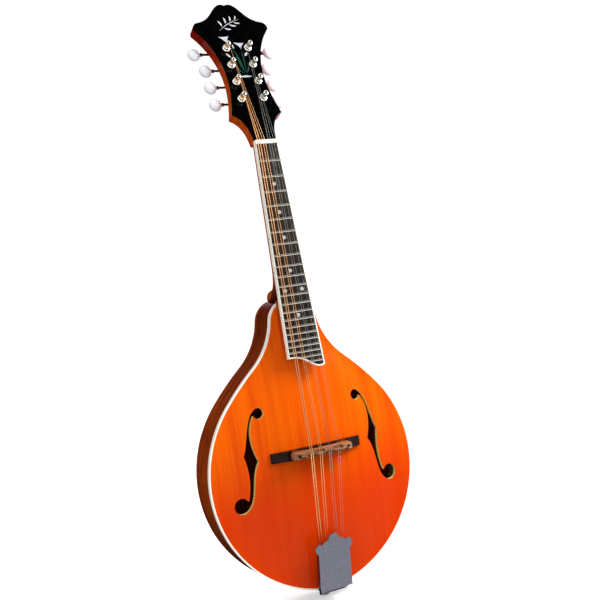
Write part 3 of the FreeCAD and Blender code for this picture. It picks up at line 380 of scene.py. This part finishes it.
@dataclass(frozen=True)
class Hardwood(Finish):
    """Mahogany or rosewood: streaks of light and dark along the grain, crossed by short dark pores."""

    light: str = "#8c3c10"
    dark: str = "#4e1a06"
    pore: str = "#200a02"
    grain: Grain = Grain.UP
    streak: float = 3.0 * MM
    pores: float = 0.45
    # Painted shade: a ramp over height that is multiplied onto the colour.
    painted_shade: tuple[tuple[float, str], ...] = ()
    painted_shade_span: float = 0.75

    def add_painted_shade(self, tree: bpy.types.NodeTree, colour: bpy.types.NodeSocket) -> bpy.types.NodeSocket:
        """Returns the colour, darkened by painted shade at some heights."""
        height = add_node(tree, "SeparateXYZ", {"Vector": add_node(tree, "TexCoord").outputs["Object"]})
        shade_share = add_node(tree, "Math", {0: height.outputs["Z"], 1: self.painted_shade_span}, operation="DIVIDE")
        shade_ramp = add_node(tree, "ValToRGB", {"Fac": shade_share.outputs[0]}, stops=self.painted_shade)
        shaded_colour = add_node(
            tree, "Mix", {0: 1.0, 6: colour, 7: shade_ramp.outputs[0]}, data_type="RGBA", blend_type="MULTIPLY"
        )
        return shaded_colour.outputs[2]

    def along_grain(self, tree: bpy.types.NodeTree) -> bpy.types.NodeSocket:
        """Returns coordinates in metres: x and y across the grain, z along it."""
        place = add_node(tree, "TexCoord").outputs["Object"]
        if self.grain is Grain.UP:
            return place
        parts = add_node(tree, "SeparateXYZ", {"Vector": place})
        if self.grain is Grain.ACROSS:
            turned = {"X": parts.outputs["Z"], "Y": parts.outputs["Y"], "Z": parts.outputs["X"]}
            return add_node(tree, "CombineXYZ", turned).outputs[0]
        rise = add_node(tree, "Math", {0: parts.outputs["Z"], 1: 0.152}, operation="SUBTRACT")
        angle = add_node(tree, "Math", {0: parts.outputs["X"], 1: rise.outputs[0]}, operation="ARCTAN2")
        arc = add_node(tree, "Math", {0: angle.outputs[0], 1: 0.127}, operation="MULTIPLY")
        bent = {"X": parts.outputs["Y"], "Y": 0.0, "Z": arc.outputs[0]}
        return add_node(tree, "CombineXYZ", bent).outputs[0]

    def paint(self, tree: bpy.types.NodeTree, shader: bpy.types.Node) -> None:
        """Adds the streaks, the cloudy ribbon figure and the pores.

        Args:
            tree: The material's node tree.
            shader: Its surface shader.
        """
        place = self.along_grain(tree)
        fine = 1 / self.streak
        stretched = add_node(tree, "Mapping", {"Vector": place, "Scale": (fine, fine, 0.05 * fine)})
        streaks = add_node(
            tree, "TexNoise", {"Vector": stretched.outputs[0], "Scale": 1.0, "Detail": 5.0, "Distortion": 0.4}
        )
        clouds = add_node(tree, "TexNoise", {"Vector": place, "Scale": 45.0, "Detail": 2.0})
        figure = add_node(
            tree, "Mix", {0: 0.3, 2: streaks.outputs["Fac"], 3: clouds.outputs["Fac"]}, data_type="FLOAT"
        )
        wood = add_node(
            tree, "ValToRGB", {"Fac": figure.outputs[0]}, stops=((0.36, self.dark), (0.62, self.light))
        )
        # A real pore is 0.2 mm wide. It is drawn about twice that, so that it shows.
        tiny = add_node(tree, "Mapping", {"Vector": place, "Scale": (2200.0, 2200.0, 170.0)})
        holes = add_node(tree, "TexNoise", {"Vector": tiny.outputs[0], "Scale": 1.0, "Detail": 1.0})
        dots = add_node(
            tree,
            "MapRange",
            {"Value": holes.outputs["Fac"], "From Min": 0.60, "From Max": 0.70, "To Max": self.pores},
        )
        whole = add_node(
            tree, "Mix", {0: dots.outputs[0], 6: wood.outputs[0], 7: linear(self.pore)}, data_type="RGBA"
        )
        colour = self.add_painted_shade(tree, whole.outputs[2]) if self.painted_shade else whole.outputs[2]
        tree.links.new(colour, shader.inputs["Base Color"])
        self.relieve(tree, shader, streaks.outputs["Fac"], 0.02 * MM)


@dataclass(frozen=True)
class Moulded(Finish):
    """Celluloid, bone or lacquer: one body colour that drifts a little, with rubbed patches in the gloss."""

    colour: str = "#f2eedd"
    drift: str = "#e9e2c8"
    cloud: float = 9.0 * MM
    relief: float = 0.004 * MM

    def paint(self, tree: bpy.types.NodeTree, shader: bpy.types.Node) -> None:
        """Adds the slow drift of colour and the handling marks.

        Args:
            tree: The material's node tree.
            shader: Its surface shader.
        """
        place = add_node(tree, "TexCoord").outputs["Object"]
        clouds = add_node(tree, "TexNoise", {"Vector": place, "Scale": 1 / self.cloud, "Detail": 3.0})
        body = add_node(
            tree, "ValToRGB", {"Fac": clouds.outputs["Fac"]}, stops=((0.35, self.drift), (0.65, self.colour))
        )
        tree.links.new(body.outputs[0], shader.inputs["Base Color"])
        marks = add_node(tree, "TexNoise", {"Vector": place, "Scale": 900.0, "Detail": 4.0})
        worn = add_node(
            tree,
            "MapRange",
            {"Value": marks.outputs["Fac"], "To Min": self.roughness * 0.7, "To Max": self.roughness * 1.5},
        )
        tree.links.new(worn.outputs[0], shader.inputs["Roughness"])
        self.relieve(tree, shader, marks.outputs["Fac"], self.relief)


@dataclass(frozen=True)
class Pearl(Finish):
    """Mother-of-pearl or pearloid: folded layers that turn from one pale colour to another."""

    stops: tuple[tuple[float, str], ...] = (
        (0.30, "#8f95a4"), (0.48, "#c2c6d0"), (0.62, "#bcb2a8"), (0.78, "#d6d6dc"),
    )
    fold: float = 3.0 * MM
    twist: float = 2.5

    def paint(self, tree: bpy.types.NodeTree, shader: bpy.types.Node) -> None:
        """Adds the folded layers.

        Args:
            tree: The material's node tree.
            shader: Its surface shader.
        """
        place = add_node(tree, "TexCoord").outputs["Object"]
        folds = add_node(
            tree,
            "TexNoise",
            {"Vector": place, "Scale": 1 / self.fold, "Detail": 2.0, "Distortion": self.twist},
        )
        layers = add_node(tree, "ValToRGB", {"Fac": folds.outputs["Fac"]}, stops=self.stops)
        tree.links.new(layers.outputs[0], shader.inputs["Base Color"])
        self.relieve(tree, shader, folds.outputs["Fac"], 0.01 * MM)


@dataclass(frozen=True)
class Metal(Finish):
    """Plated or bare metal: a clean mirror colour broken by fine polishing marks and handling haze."""

    colour: str = "#c8c6c0"
    tarnish: str = "#a8a49a"
    patch: float = 2.5 * MM
    brushed: tuple[float, float, float] = (1.0, 1.0, 1.0)
    grooves: float = 0.003 * MM

    def paint(self, tree: bpy.types.NodeTree, shader: bpy.types.Node) -> None:
        """Adds haze, a little tarnish and polishing marks.

        Args:
            tree: The material's node tree.
            shader: Its surface shader.
        """
        place = add_node(tree, "TexCoord").outputs["Object"]
        haze = add_node(
            tree, "TexNoise", {"Vector": place, "Scale": 1 / self.patch, "Detail": 5.0, "Roughness": 0.6}
        )
        tint = add_node(
            tree, "ValToRGB", {"Fac": haze.outputs["Fac"]}, stops=((0.38, self.tarnish), (0.62, self.colour))
        )
        tree.links.new(tint.outputs[0], shader.inputs["Base Color"])
        gloss = add_node(
            tree,
            "MapRange",
            {"Value": haze.outputs["Fac"], "To Min": self.roughness * 1.35, "To Max": self.roughness * 0.65},
        )
        tree.links.new(gloss.outputs[0], shader.inputs["Roughness"])
        lines = add_node(tree, "Mapping", {"Vector": place, "Scale": self.brushed})
        marks = add_node(tree, "TexNoise", {"Vector": lines.outputs[0], "Scale": 1600.0, "Detail": 2.0})
        self.relieve(tree, shader, marks.outputs["Fac"], self.grooves)


@dataclass(frozen=True)
class WoundWire(Finish):
    """Phosphor bronze wire wound on a steel core: a warm metal with painted shade between the turns."""

    colour: str = "#f4bc84"
    groove_shade: str = "#8c5428"
    pitch: float = 1.1 * MM

    def paint(self, tree: bpy.types.NodeTree, shader: bpy.types.Node) -> None:
        """Adds the turns. The real pitch of 0.3 mm is drawn coarser, so that the turns show.

        Args:
            tree: The material's node tree.
            shader: Its surface shader.
        """
        along = add_node(tree, "Attribute", attribute_name="along").outputs["Fac"]
        phase = add_node(tree, "Math", {0: along, 1: 2 * math.pi / self.pitch}, operation="MULTIPLY")
        wave = add_node(tree, "Math", {0: phase.outputs[0]}, operation="SINE")
        turns = add_node(tree, "MapRange", {"Value": wave.outputs[0], "From Min": -1.0})
        # Painted shade: the grooves between the turns are coloured dark.
        tint = add_node(
            tree, "ValToRGB", {"Fac": turns.outputs[0]}, stops=((0.05, self.groove_shade), (0.45, self.colour))
        )
        tree.links.new(tint.outputs[0], shader.inputs["Base Color"])
        self.relieve(tree, shader, turns.outputs[0], 0.08 * MM)


# Thin lacquer is kept low in gloss, so that the eye sees the stain and the grain and not the room.
SPRUCE_TOP = AmberSpruce("amber_lacquered_spruce", "spruce_top", 0.25, specular=0.06, coat=0.06)
BACK_MAHOGANY = Hardwood(
    "lacquered_mahogany_back", "body_mahogany", 0.35, specular=0.15, coat=0.2, light="#a03e00", dark="#641e00"
)
SIDE_MAHOGANY = Hardwood(
    "lacquered_mahogany_sides", "body_mahogany", 0.25, specular=0.12, coat=0.12, grain=Grain.ROUND_RIM,
    light="#a44200", dark="#6e2400",
    # Painted shade: the sides darken at the bottom and towards the neck.
    painted_shade=((0.06, "#c8b4a0"), (0.18, "#ffffff"), (0.32, "#f0e4dc"), (0.45, "#a88c84")),
)
NECK_MAHOGANY = Hardwood(
    "amber_lacquered_mahogany", "neck_wood", 0.25, specular=0.12, coat=0.12, rounding=0.5 * MM,
    light="#cc5400", dark="#9c3000", pore="#501404", pores=0.3,
    # Painted shade: the heel darkens, and the top of the headstock turns darker red.
    painted_shade=((0.47, "#6a3a30"), (0.51, "#ffffff"), (0.80, "#ffffff"), (0.87, "#b84c40"), (0.93, "#a43c34")),
)
RISER_MAHOGANY = Hardwood(
    "amber_lacquered_riser", "riser_wood", 0.35, specular=0.3, coat=0.35, rounding=0.3 * MM,
    light="#b84a06", dark="#8c2a04", pore="#501404", pores=0.3,
)
# Oiled rosewood is nearly black with brown streaks, and only half glossy.
BOARD_ROSEWOOD = Hardwood(
    "oiled_rosewood", "rosewood_board", 0.42, specular=0.2, light="#2c1d14", dark="#100906", pore="#050302",
    streak=2.2 * MM, pores=0.6,
)
BASE_ROSEWOOD = Hardwood(
    "waxed_rosewood", "rosewood_bridge", 0.38, specular=0.12, rounding=0.4 * MM,
    light="#2a100d", dark="#060202", pore="#080303", grain=Grain.ACROSS, streak=2.0 * MM, pores=0.5,
)
SADDLE_ROSEWOOD = Hardwood(
    "carved_rosewood", "rosewood_saddle", 0.45, specular=0.4, rounding=0.6 * MM,
    light="#a4714a", dark="#6a3c22", pore="#2a120a", grain=Grain.ACROSS, streak=2.0 * MM, pores=0.5,
)
# Wood that no finish ever reached, inside the body.
INNER_SPRUCE = Hardwood(
    "bare_spruce", "inner_spruce", 0.7, light="#dcc190", dark="#c8a870", pore="#a88450", pores=0.2
)
INNER_MAHOGANY = Hardwood(
    "bare_mahogany", "inner_mahogany", 0.7, light="#a87850", dark="#8c5c3a", pore="#5a3420", pores=0.4
)
# Scraped and buffed celluloid edging is warm white with a soft shine.
CREAM_CELLULOID = Moulded(
    "cream_celluloid", "cream_binding", 0.25, coat=0.2, rounding=0.3 * MM, colour="#fffcf2", drift="#f8f2e2"
)
POLISHED_BONE = Moulded(
    "polished_bone", "bone_nut", 0.35, rounding=0.4 * MM, colour="#f4f0e4", drift="#e6dfc8", cloud=4.0 * MM
)
# Sprayed and polished lacquer over a dyed veneer looks like a black mirror.
BLACK_LACQUER = Moulded(
    "black_lacquer", "black_veneer", 0.12, specular=0.1, rounding=0.3 * MM, colour="#040405", drift="#010101",
    relief=0.002 * MM,
)
BLACK_DOTS = Moulded("black_celluloid", "black_veneer", 0.3, colour="#0c0c0c", drift="#050505")
WHITE_PEARL = Pearl("mother_of_pearl", "white_pearl", 0.2, coat=0.3)
GREEN_PEARL = Pearl(
    "green_abalone", "green_pearl", 0.2, coat=0.2, fold=2.5 * MM,
    stops=((0.3, "#021c10"), (0.45, "#0a4428"), (0.6, "#164e48"), (0.75, "#4c8450")),
)
PEARLOID = Pearl(
    "pearloid", "pearloid", 0.3, specular=0.3, coat=0.1, fold=7.0 * MM, twist=1.2,
    stops=((0.3, "#7c7e87"), (0.5, "#8e919b"), (0.62, "#93929b"), (0.8, "#a1a4ad")),
)
# Nickel plate is a warm dark mirror and chrome a cool one dulled by haze. Both carry polishing marks.
NICKEL_PLATE = Metal(
    "nickel_plate", "nickel_plate", 0.14, 1.0, rounding=0.2 * MM, colour="#746a54", tarnish="#3c3222"
)
CHROME_PLATE = Metal(
    "hazed_chrome", "tailpiece_chrome", 0.34, 1.0, rounding=0.4 * MM, colour="#767682", tarnish="#686874",
    patch=1.6 * MM,
)
FRET_WIRE = Metal(
    "nickel_silver", "nickel_silver", 0.4, 1.0, colour="#f4f0e2", tarnish="#e0dccc", brushed=(1, 0.1, 1)
)
BARE_STEEL = Metal("bare_steel", "plain_steel", 0.35, 1.0, colour="#8c8c8e", tarnish="#767472")
PLAIN_WIRE = Metal(
    "plated_steel_wire", "plain_string", 0.5, 1.0, colour="#a4a29a", tarnish="#86847c", grooves=0.0
)
TURNED_BRASS = Metal(
    "turned_brass", "bridge_brass", 0.25, 1.0, rounding=0.2 * MM, colour="#c8a860", tarnish="#a08040"
)
AGED_BRONZE = Metal(
    "aged_bronze", "bronze_shaft", 0.3, 1.0, rounding=0.2 * MM, colour="#6e3c22", tarnish="#3c1c10"
)
BRONZE_WOUND = WoundWire("phosphor_bronze_wound", "bronze_wound", 0.45, 1.0)


# ---- sub-assemblies -----------------------------------------------------------------------------


def packed(*names: str) -> list[bpy.types.Object]:
    """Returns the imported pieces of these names."""
    return [frame["nodes"][name] for name in names]


@dataclass
class Body:
    """The sound box: carved plates, bent sides, edging and what is glued inside."""

    finishes: tuple[tuple[Finish, tuple[str, ...]], ...] = (
        (SPRUCE_TOP, ("top_plate",)),
        (BACK_MAHOGANY, ("back_plate",)),
        (SIDE_MAHOGANY, ("side_bass", "side_treble")),
        (CREAM_CELLULOID, ("top_binding",)),
        (INNER_SPRUCE, ("linings", "tone_bars")),
        (INNER_MAHOGANY, ("neck_block", "tail_block")),
    )

    def dress(self) -> None:
        """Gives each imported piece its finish."""
        for finish, names in self.finishes:
            finish.dress(*packed(*names))


@dataclass
class Neck:
    """The neck with its fingerboard, frets and marks. Lengths are in millimetres."""

    scale_length: float = 352.4
    half_nut: float = 14.2
    half_end: float = 21.2
    board_end: float = 247.5
    board_thick: float = 5.5
    dot_frets: tuple[int, ...] = (3, 5, 7, 10, 12, 15)
    dot_radius: float = 0.9
    finishes: tuple[tuple[Finish, tuple[str, ...]], ...] = (
        (NECK_MAHOGANY, ("neck",)),
        (RISER_MAHOGANY, ("fingerboard_riser",)),
        (BARE_STEEL, ("neck_bar",)),
        (BOARD_ROSEWOOD, ("fingerboard",)),
        (CREAM_CELLULOID, ("fingerboard_binding",)),
        (FRET_WIRE, ("frets",)),
        (WHITE_PEARL, ("position_dots",)),
        (POLISHED_BONE, ("nut",)),
    )

    def fret(self, number: float) -> float:
        """Returns a fret's distance below the nut, in millimetres."""
        return self.scale_length * (1 - 2 ** (-number / 12))

    def side_dots(self) -> list[bpy.types.Object]:
        """Builds the small black marks in the edging on the player's side.

        Returns:
            One disc for each marked fret, and two at the octave.
        """
        made = []
        for number in self.dot_frets:
            middle = (self.fret(number - 1) + self.fret(number)) / 2
            for shift in (-2.2, 2.2) if number == 12 else (0.0,):
                down = middle + shift
                edge = self.half_nut + (self.half_end - self.half_nut) * down / self.board_end
                spot = Matrix.Translation(Vector((-edge, self.board_thick * 0.45, -down)) * MM)
                place = BOARD @ spot @ Matrix.Rotation(math.radians(-90), 4, "Y")
                profile = ((0.02, -0.3), (self.dot_radius, -0.3), (self.dot_radius, 0.03), (0.02, 0.06))
                dot = lathe(f"side_dot_{number}_{len(made)}", profile, place, 20)
                made.append(dot)
        return made

    def dress(self) -> None:
        """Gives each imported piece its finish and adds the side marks."""
        for finish, names in self.finishes:
            finish.dress(*packed(*names))
        for dot in self.side_dots():
            BLACK_DOTS.dress(dot)
            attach(dot, ROOT)


@dataclass
class Tuners:
    """Eight geared tuners on two strips, and the headstock's face. Lengths are in millimetres."""

    rows: int = 4
    pin_radius: float = 0.85

    def names(self) -> list[str]:
        """Returns the label of each tuner, from the nut to the crown, bass side first."""
        return [f"{side}_{row + 1}" for side in ("bass", "treble") for row in range(self.rows)]

    def end_pin(self, label: str) -> bpy.types.Object:
        """Builds the peened end of a worm's shaft, which shows in the button's outer end.

        Args:
            label: The tuner's label.

        Returns:
            The pin's low dome.
        """
        low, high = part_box("tuner_button_" + label)
        middle = (low + high) / 2
        outwards = -1 if middle.x < 0 else 1
        tip = Vector((low.x if outwards < 0 else high.x, middle.y, middle.z))
        place = Matrix.Translation(tip) @ Matrix.Rotation(math.radians(90 * outwards), 4, "Y")
        profile = ((0.02, -0.8), (self.pin_radius, -0.8), (self.pin_radius, -0.12), (0.5, -0.04), (0.02, 0.0))
        return lathe("tuner_pin_" + label, profile, place, 16)

    def dress(self) -> None:
        """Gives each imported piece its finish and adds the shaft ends."""
        BLACK_LACQUER.dress(*packed("headstock_veneer"))
        WHITE_PEARL.dress(*packed("headstock_pearl"))
        GREEN_PEARL.dress(*packed("headstock_leaves"))
        NICKEL_PLATE.dress(*packed("post_bushings", "tuner_plate_screws"))
        NICKEL_PLATE.dress(*packed("tuner_plate_bass", "tuner_plate_treble"))
        for label in self.names():
            NICKEL_PLATE.dress(*packed("tuner_post_" + label))
            AGED_BRONZE.dress(*packed("tuner_worm_" + label))
            PEARLOID.dress(*packed("tuner_button_" + label))
            pin = self.end_pin(label)
            AGED_BRONZE.dress(pin)
            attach(pin, "knob_" + label)


@dataclass
class Bridge:
    """The floating bridge: a footed base, two studs with wheels and a stepped saddle."""

    finishes: tuple[tuple[Finish, tuple[str, ...]], ...] = (
        (BASE_ROSEWOOD, ("bridge_base",)),
        (SADDLE_ROSEWOOD, ("bridge_saddle",)),
        (TURNED_BRASS, ("bridge_studs", "thumbwheel_bass", "thumbwheel_treble")),
    )

    def dress(self) -> None:
        """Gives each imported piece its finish."""
        for finish, names in self.finishes:
            finish.dress(*packed(*names))


@dataclass
class Tailpiece:
    """The bracket with its hooks, the sliding cover, the screws and the end button."""

    names: tuple[str, ...] = ("tailpiece_base", "tailpiece_cover", "tailpiece_screws", "end_button")

    def dress(self) -> None:
        """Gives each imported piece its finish."""
        CHROME_PLATE.dress(*packed(*self.names))


@dataclass(frozen=True)
class Course:
    """One string's places across the instrument, in millimetres."""

    at_nut: float
    at_saddle: float
    at_hook: float
    row: int
    diameter: float
    wound: bool

    @property
    def side(self) -> int:
        """-1 on the bass side and 1 on the treble side."""
        return -1 if self.at_nut < 0 else 1

    @property
    def label(self) -> str:
        """The label of the string's tuner."""
        return f"{'bass' if self.side < 0 else 'treble'}_{self.row + 1}"

    @property
    def finish(self) -> Finish:
        """The wire's finish."""
        return BRONZE_WOUND if self.wound else PLAIN_WIRE


@dataclass
class Strings:
    """Eight strings in four pairs, each in five pieces: loop, tail, speaking length, head and turns."""

    courses: tuple[Course, ...] = (
        Course(-11.5, -18.2, -14.6, 0, 1.02, True),
        Course(-8.7, -15.8, -11.4, 1, 1.02, True),
        Course(-5.0, -6.9, -7.8, 2, 0.66, True),
        Course(-2.2, -4.5, -4.6, 3, 0.66, True),
        Course(2.2, 4.5, 4.6, 3, 0.38, False),
        Course(5.0, 6.9, 7.8, 2, 0.38, False),
        Course(8.7, 15.8, 11.4, 1, 0.28, False),
        Course(11.5, 18.2, 14.6, 0, 0.28, False),
    )
    saddle_front: float = -59.66
    saddle_height: float = 174.5
    nut_thick: float = 5.0
    over_frets: float = 1.4
    hook: tuple[float, float] = (4.3, 31.0)
    loop_half: float = 1.15
    loop_rise: float = 1.9
    post_x: float = 13.8
    first_row: float = 62.4
    row_step: float = 23.65
    barrel: float = 2.4
    barrel_low: float = 4.45
    barrel_high: float = 7.5
    stand_ins: dict[bool, list[bpy.types.Object]] = field(default_factory=lambda: {True: [], False: []})

    def saddle_point(self, course: Course) -> Vector:
        """Returns where a string's middle passes over the saddle."""
        return Vector((course.at_saddle, self.saddle_front - course.diameter / 2, self.saddle_height)) * MM

    def nut_points(self, course: Course) -> list[Vector]:
        """Returns a string's two bends, at the front and the back of the nut."""
        lift = -self.over_frets - course.diameter / 2
        front = Vector((course.at_nut, lift, 0.3)) * MM
        back = Vector((course.at_nut, lift + 0.45, self.nut_thick + 0.3)) * MM
        return [BOARD @ front, BOARD @ back]

    def post_centre(self, course: Course) -> Vector:
        """Returns the foot of a string's post, on the headstock's face, in millimetres."""
        return Vector((course.side * self.post_x, 0, self.first_row + course.row * self.row_step))

    def arrival(self, course: Course) -> Vector:
        """Returns where a string meets the inner side of its post, in the headstock's frame."""
        reach = self.barrel + course.diameter / 2 + 0.02
        start = Vector((course.at_nut, 0, self.nut_thick))
        away = self.post_centre(course) - start
        lean = math.asin(reach / away.length)
        heading = math.atan2(away.x, away.z) - course.side * lean
        run = away.length * math.cos(lean)
        height = self.barrel_low + course.diameter / 2
        return Vector((start.x + run * math.sin(heading), -height, start.z + run * math.cos(heading)))

    def turns(self, course: Course) -> list[Vector]:
        """Returns the path of a string's turns up its post, ending in the post's cross hole.

        Args:
            course: The string.

        Returns:
            The points of the helix, in metres.
        """
        centre = self.post_centre(course)
        touch = self.arrival(course)
        reach = self.barrel + course.diameter / 2 + 0.02
        first = math.atan2(touch.x - centre.x, touch.z - centre.z)
        low, high = -touch.y, self.barrel_high - course.diameter / 2
        count = max(1.5, (high - low) / (course.diameter * 1.04))
        steps = int(count * 20)
        points = []
        for k in range(steps + 1):
            angle = first - course.side * 2 * math.pi * count * k / steps
            height = low + (high - low) * k / steps
            spot = Vector((reach * math.sin(angle), -height, reach * math.cos(angle)))
            points.append(HEAD @ ((Vector((centre.x, 0, centre.z)) + spot) * MM))
        inside = HEAD @ (Vector((centre.x, -high + 0.3, centre.z)) * MM)
        points.append(inside)
        return points

    def loop(self, course: Course) -> list[Vector]:
        """Returns the closed path of the loop over a string's hook."""
        height = self.hook[1] - 1.7
        points = []
        for k in range(24):
            angle = 2 * math.pi * k / 24
            across = course.at_hook + self.loop_half * math.sin(angle)
            spot = Vector((across, self.hook[0], height + self.loop_rise * math.cos(angle)))
            points.append(COVER @ (spot * MM))
        return points

    def twist(self, course: Course) -> list[Vector]:
        """Returns the path of the wire's end, twisted back round the string above its loop."""
        start = COVER @ (Vector((course.at_hook, *self.hook)) * MM)
        heading = (self.saddle_point(course) - start).normalized()
        side = heading.orthogonal().normalized()
        over = heading.cross(side)
        reach = (course.diameter / 2 + 0.12) * MM
        points = []
        for k in range(81):
            angle = 2 * math.pi * k / 10
            turned = side * math.cos(angle) + over * math.sin(angle)
            points.append(start + heading * (0.4 + k * 0.085) * MM + turned * reach)
        return points

    def build(self, course: Course) -> None:
        """Builds one string's pieces, and sets the head, the turns, the loop and the twisted end to ride on
        what carries them.

        Args:
            course: The string.
        """
        radius = course.diameter / 2 * MM
        saddle = self.saddle_point(course)
        front, back = self.nut_points(course)
        hook = COVER @ (Vector((course.at_hook, *self.hook)) * MM)
        touch = HEAD @ (self.arrival(course) * MM)
        past_nut = front + (back - front) * 0.7
        speaking = tube("string_speaking_" + course.label, [saddle, front, past_nut], radius)
        tail = tube("string_tail_" + course.label, [hook, saddle], radius)
        for piece, still in ((speaking, front), (tail, hook)):
            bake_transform(piece)
        head = tube("string_head_" + course.label, [front, back, touch], radius)
        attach(head, ROOT)
        turns = tube("string_turns_" + course.label, self.turns(course), radius)
        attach(turns, "post_" + course.label)
        loop = tube("string_loop_" + course.label, self.loop(course), 0.14 * MM, 8, closed=True)
        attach(loop, ROOT)
        twist = tube("string_twist_" + course.label, self.twist(course), 0.12 * MM, 6)
        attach(twist, ROOT)
        course.finish.dress(speaking, tail, head, turns)
        PLAIN_WIRE.dress(loop, twist)
        self.stand_ins[course.wound].append(speaking)

    def dress(self) -> None:
        """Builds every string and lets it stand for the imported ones."""
        for course in self.courses:
            self.build(course)
        for piece in self.stand_ins[True]:
            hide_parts("strings_wound")
        for piece in self.stand_ins[False]:
            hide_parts("strings_plain")


# ---- studio -------------------------------------------------------------------------------------


@dataclass(frozen=True)
class SoftBox:
    """One soft light of the studio, in metres and watts."""

    name: str
    place: tuple[float, float, float]
    aim: tuple[float, float, float]
    size: float
    power: float
    colour: str = "#ffffff"

    def build(self) -> None:
        """Adds the light, turned to its aim."""
        data = bpy.data.lights.new(self.name, "AREA")
        data.shape = "DISK"
        data.size = self.size
        data.energy = self.power
        data.color = linear(self.colour)[:3]
        light = bpy.data.objects.new(self.name, data)
        light.location = self.place
        light.rotation_mode = "QUATERNION"
        light.rotation_quaternion = (Vector(self.aim) - Vector(self.place)).to_track_quat("-Z", "Y")
        bpy.context.scene.collection.objects.link(light)


@dataclass
class Studio:
    """A pale room with soft light, and the camera. Lengths are in metres, angles in degrees."""

    floor_half: float = 6.0
    floor_glow: float = 0.4
    floor_gap: float = 0.0004
    dome: str = "#ffffff"
    backdrop: float = 1.1
    ambient: tuple[tuple[float, str], ...] = ((0.30, "#b8b8b8"), (0.75, "#ffffff"))
    mirrored: tuple[tuple[float, str], ...] = (
        (0.20, "#101010"), (0.36, "#f4f4f4"), (0.80, "#f4f4f4"), (0.90, "#080808"),
    )
    mirror_gain: float = 1.5
    flag: tuple[float, float, float] = (0.41, -0.80, 0.43)
    boxes: tuple[SoftBox, ...] = (
        SoftBox("key_light", (0.95, -0.65, 1.05), (0.0, 0.0, 0.25), 0.7, 24.0),
        SoftBox("fill_light", (-1.3, -0.9, 0.8), (0.0, 0.0, 0.3), 0.6, 1.5),
    )
    camera_place: tuple[float, float, float] = (-0.4318, -1.0236, 0.3564)
    camera_heading: float = 25.13
    camera_roll: float = 8.21
    lens: float = 57.12
    shift: tuple[float, float] = (-0.0308, -0.0235)

    def floor(self) -> None:
        """Adds the plain pale floor, which shows to the eye but not in the lacquer."""
        half = self.floor_half
        square = ((-half, -half), (half, -half), (half, half), (-half, half))
        corners = [Vector((x, y, -self.floor_gap)) for x, y in square]
        sheet = mesh_object("floor", corners, [(0, 1, 2, 3)])
        paper = Moulded("white_paper", "", 0.9, specular=0.1, colour="#fafafa", drift="#f4f4f4", cloud=0.4)
        sheet.data.materials.append(paper.material())
        shader = sheet.data.materials[0].node_tree.nodes["Principled BSDF"]
        shader.inputs["Emission Color"].default_value = linear(self.dome)
        shader.inputs["Emission Strength"].default_value = self.floor_glow
        sheet.visible_glossy = False
        sheet.visible_diffuse = False

    def room(self) -> None:
        """Adds the even light of the room, with black flags that keep its mirror image off the lacquer."""
        scene = bpy.context.scene
        world = bpy.data.worlds.new("room")
        world.use_nodes = True
        tree = world.node_tree
        heading = add_node(tree, "TexCoord").outputs["Generated"]
        nearness = add_node(tree, "VectorMath", {0: heading, 1: self.flag}, operation="DOT_PRODUCT")
        spread = add_node(tree, "MapRange", {"Value": nearness.outputs["Value"], "From Min": -1.0})
        mirrored = add_node(tree, "ValToRGB", {"Fac": spread.outputs[0]}, stops=self.mirrored)
        bright = add_node(tree, "Math", {0: mirrored.outputs[0], 1: self.mirror_gain}, operation="MULTIPLY")
        rise = add_node(tree, "SeparateXYZ", {"Vector": heading})
        level = add_node(tree, "MapRange", {"Value": rise.outputs["Z"], "From Min": -1.0})
        ambient = add_node(tree, "ValToRGB", {"Fac": level.outputs[0]}, stops=self.ambient)
        ray = add_node(tree, "LightPath")
        plain = add_node(
            tree, "Mix", {0: ray.outputs["Is Camera Ray"], 2: ambient.outputs[0], 3: self.backdrop},
            data_type="FLOAT",
        )
        strength = add_node(
            tree, "Mix", {0: ray.outputs["Is Glossy Ray"], 2: plain.outputs[0], 3: bright.outputs[0]},
            data_type="FLOAT",
        )
        background = tree.nodes["Background"]
        background.inputs["Color"].default_value = linear(self.dome)
        tree.links.new(strength.outputs[0], background.inputs["Strength"])
        scene.world = world
        scene.view_settings.view_transform = "Standard"

    def camera(self) -> None:
        """Adds the camera, level and rolled a little to one side."""
        data = bpy.data.cameras.new("camera")
        data.lens = self.lens
        data.sensor_width = 36.0
        data.shift_x, data.shift_y = self.shift
        data.clip_start, data.clip_end = 0.05, 50.0
        seat = bpy.data.objects.new("camera", data)
        turn = Matrix.Rotation(math.radians(-self.camera_heading), 4, "Z")
        level = Matrix.Rotation(math.radians(90), 4, "X")
        roll = Matrix.Rotation(math.radians(-self.camera_roll), 4, "Z")
        seat.matrix_world = Matrix.Translation(self.camera_place) @ turn @ level @ roll
        bpy.context.scene.collection.objects.link(seat)
        bpy.context.scene.camera = seat

    def build(self) -> None:
        """Adds the floor, the lights and the camera."""
        self.floor()
        self.room()
        for light in self.boxes:
            light.build()
        self.camera()


def main() -> None:
    """Builds and dresses the instrument, part by part."""
    logging.basicConfig(level=logging.INFO, format="%(name)s: %(message)s")
    Studio().build()
    steps: tuple[tuple[str, Callable[[], None]], ...] = (
        ("body", Body().dress),
        ("neck", Neck().dress),
        ("tuners", Tuners().dress),
        ("bridge", Bridge().dress),
        ("tailpiece", Tailpiece().dress),
        ("strings", Strings().dress),
    )
    for name, step in steps:
        step()


if __name__ == "__main__":
    main()
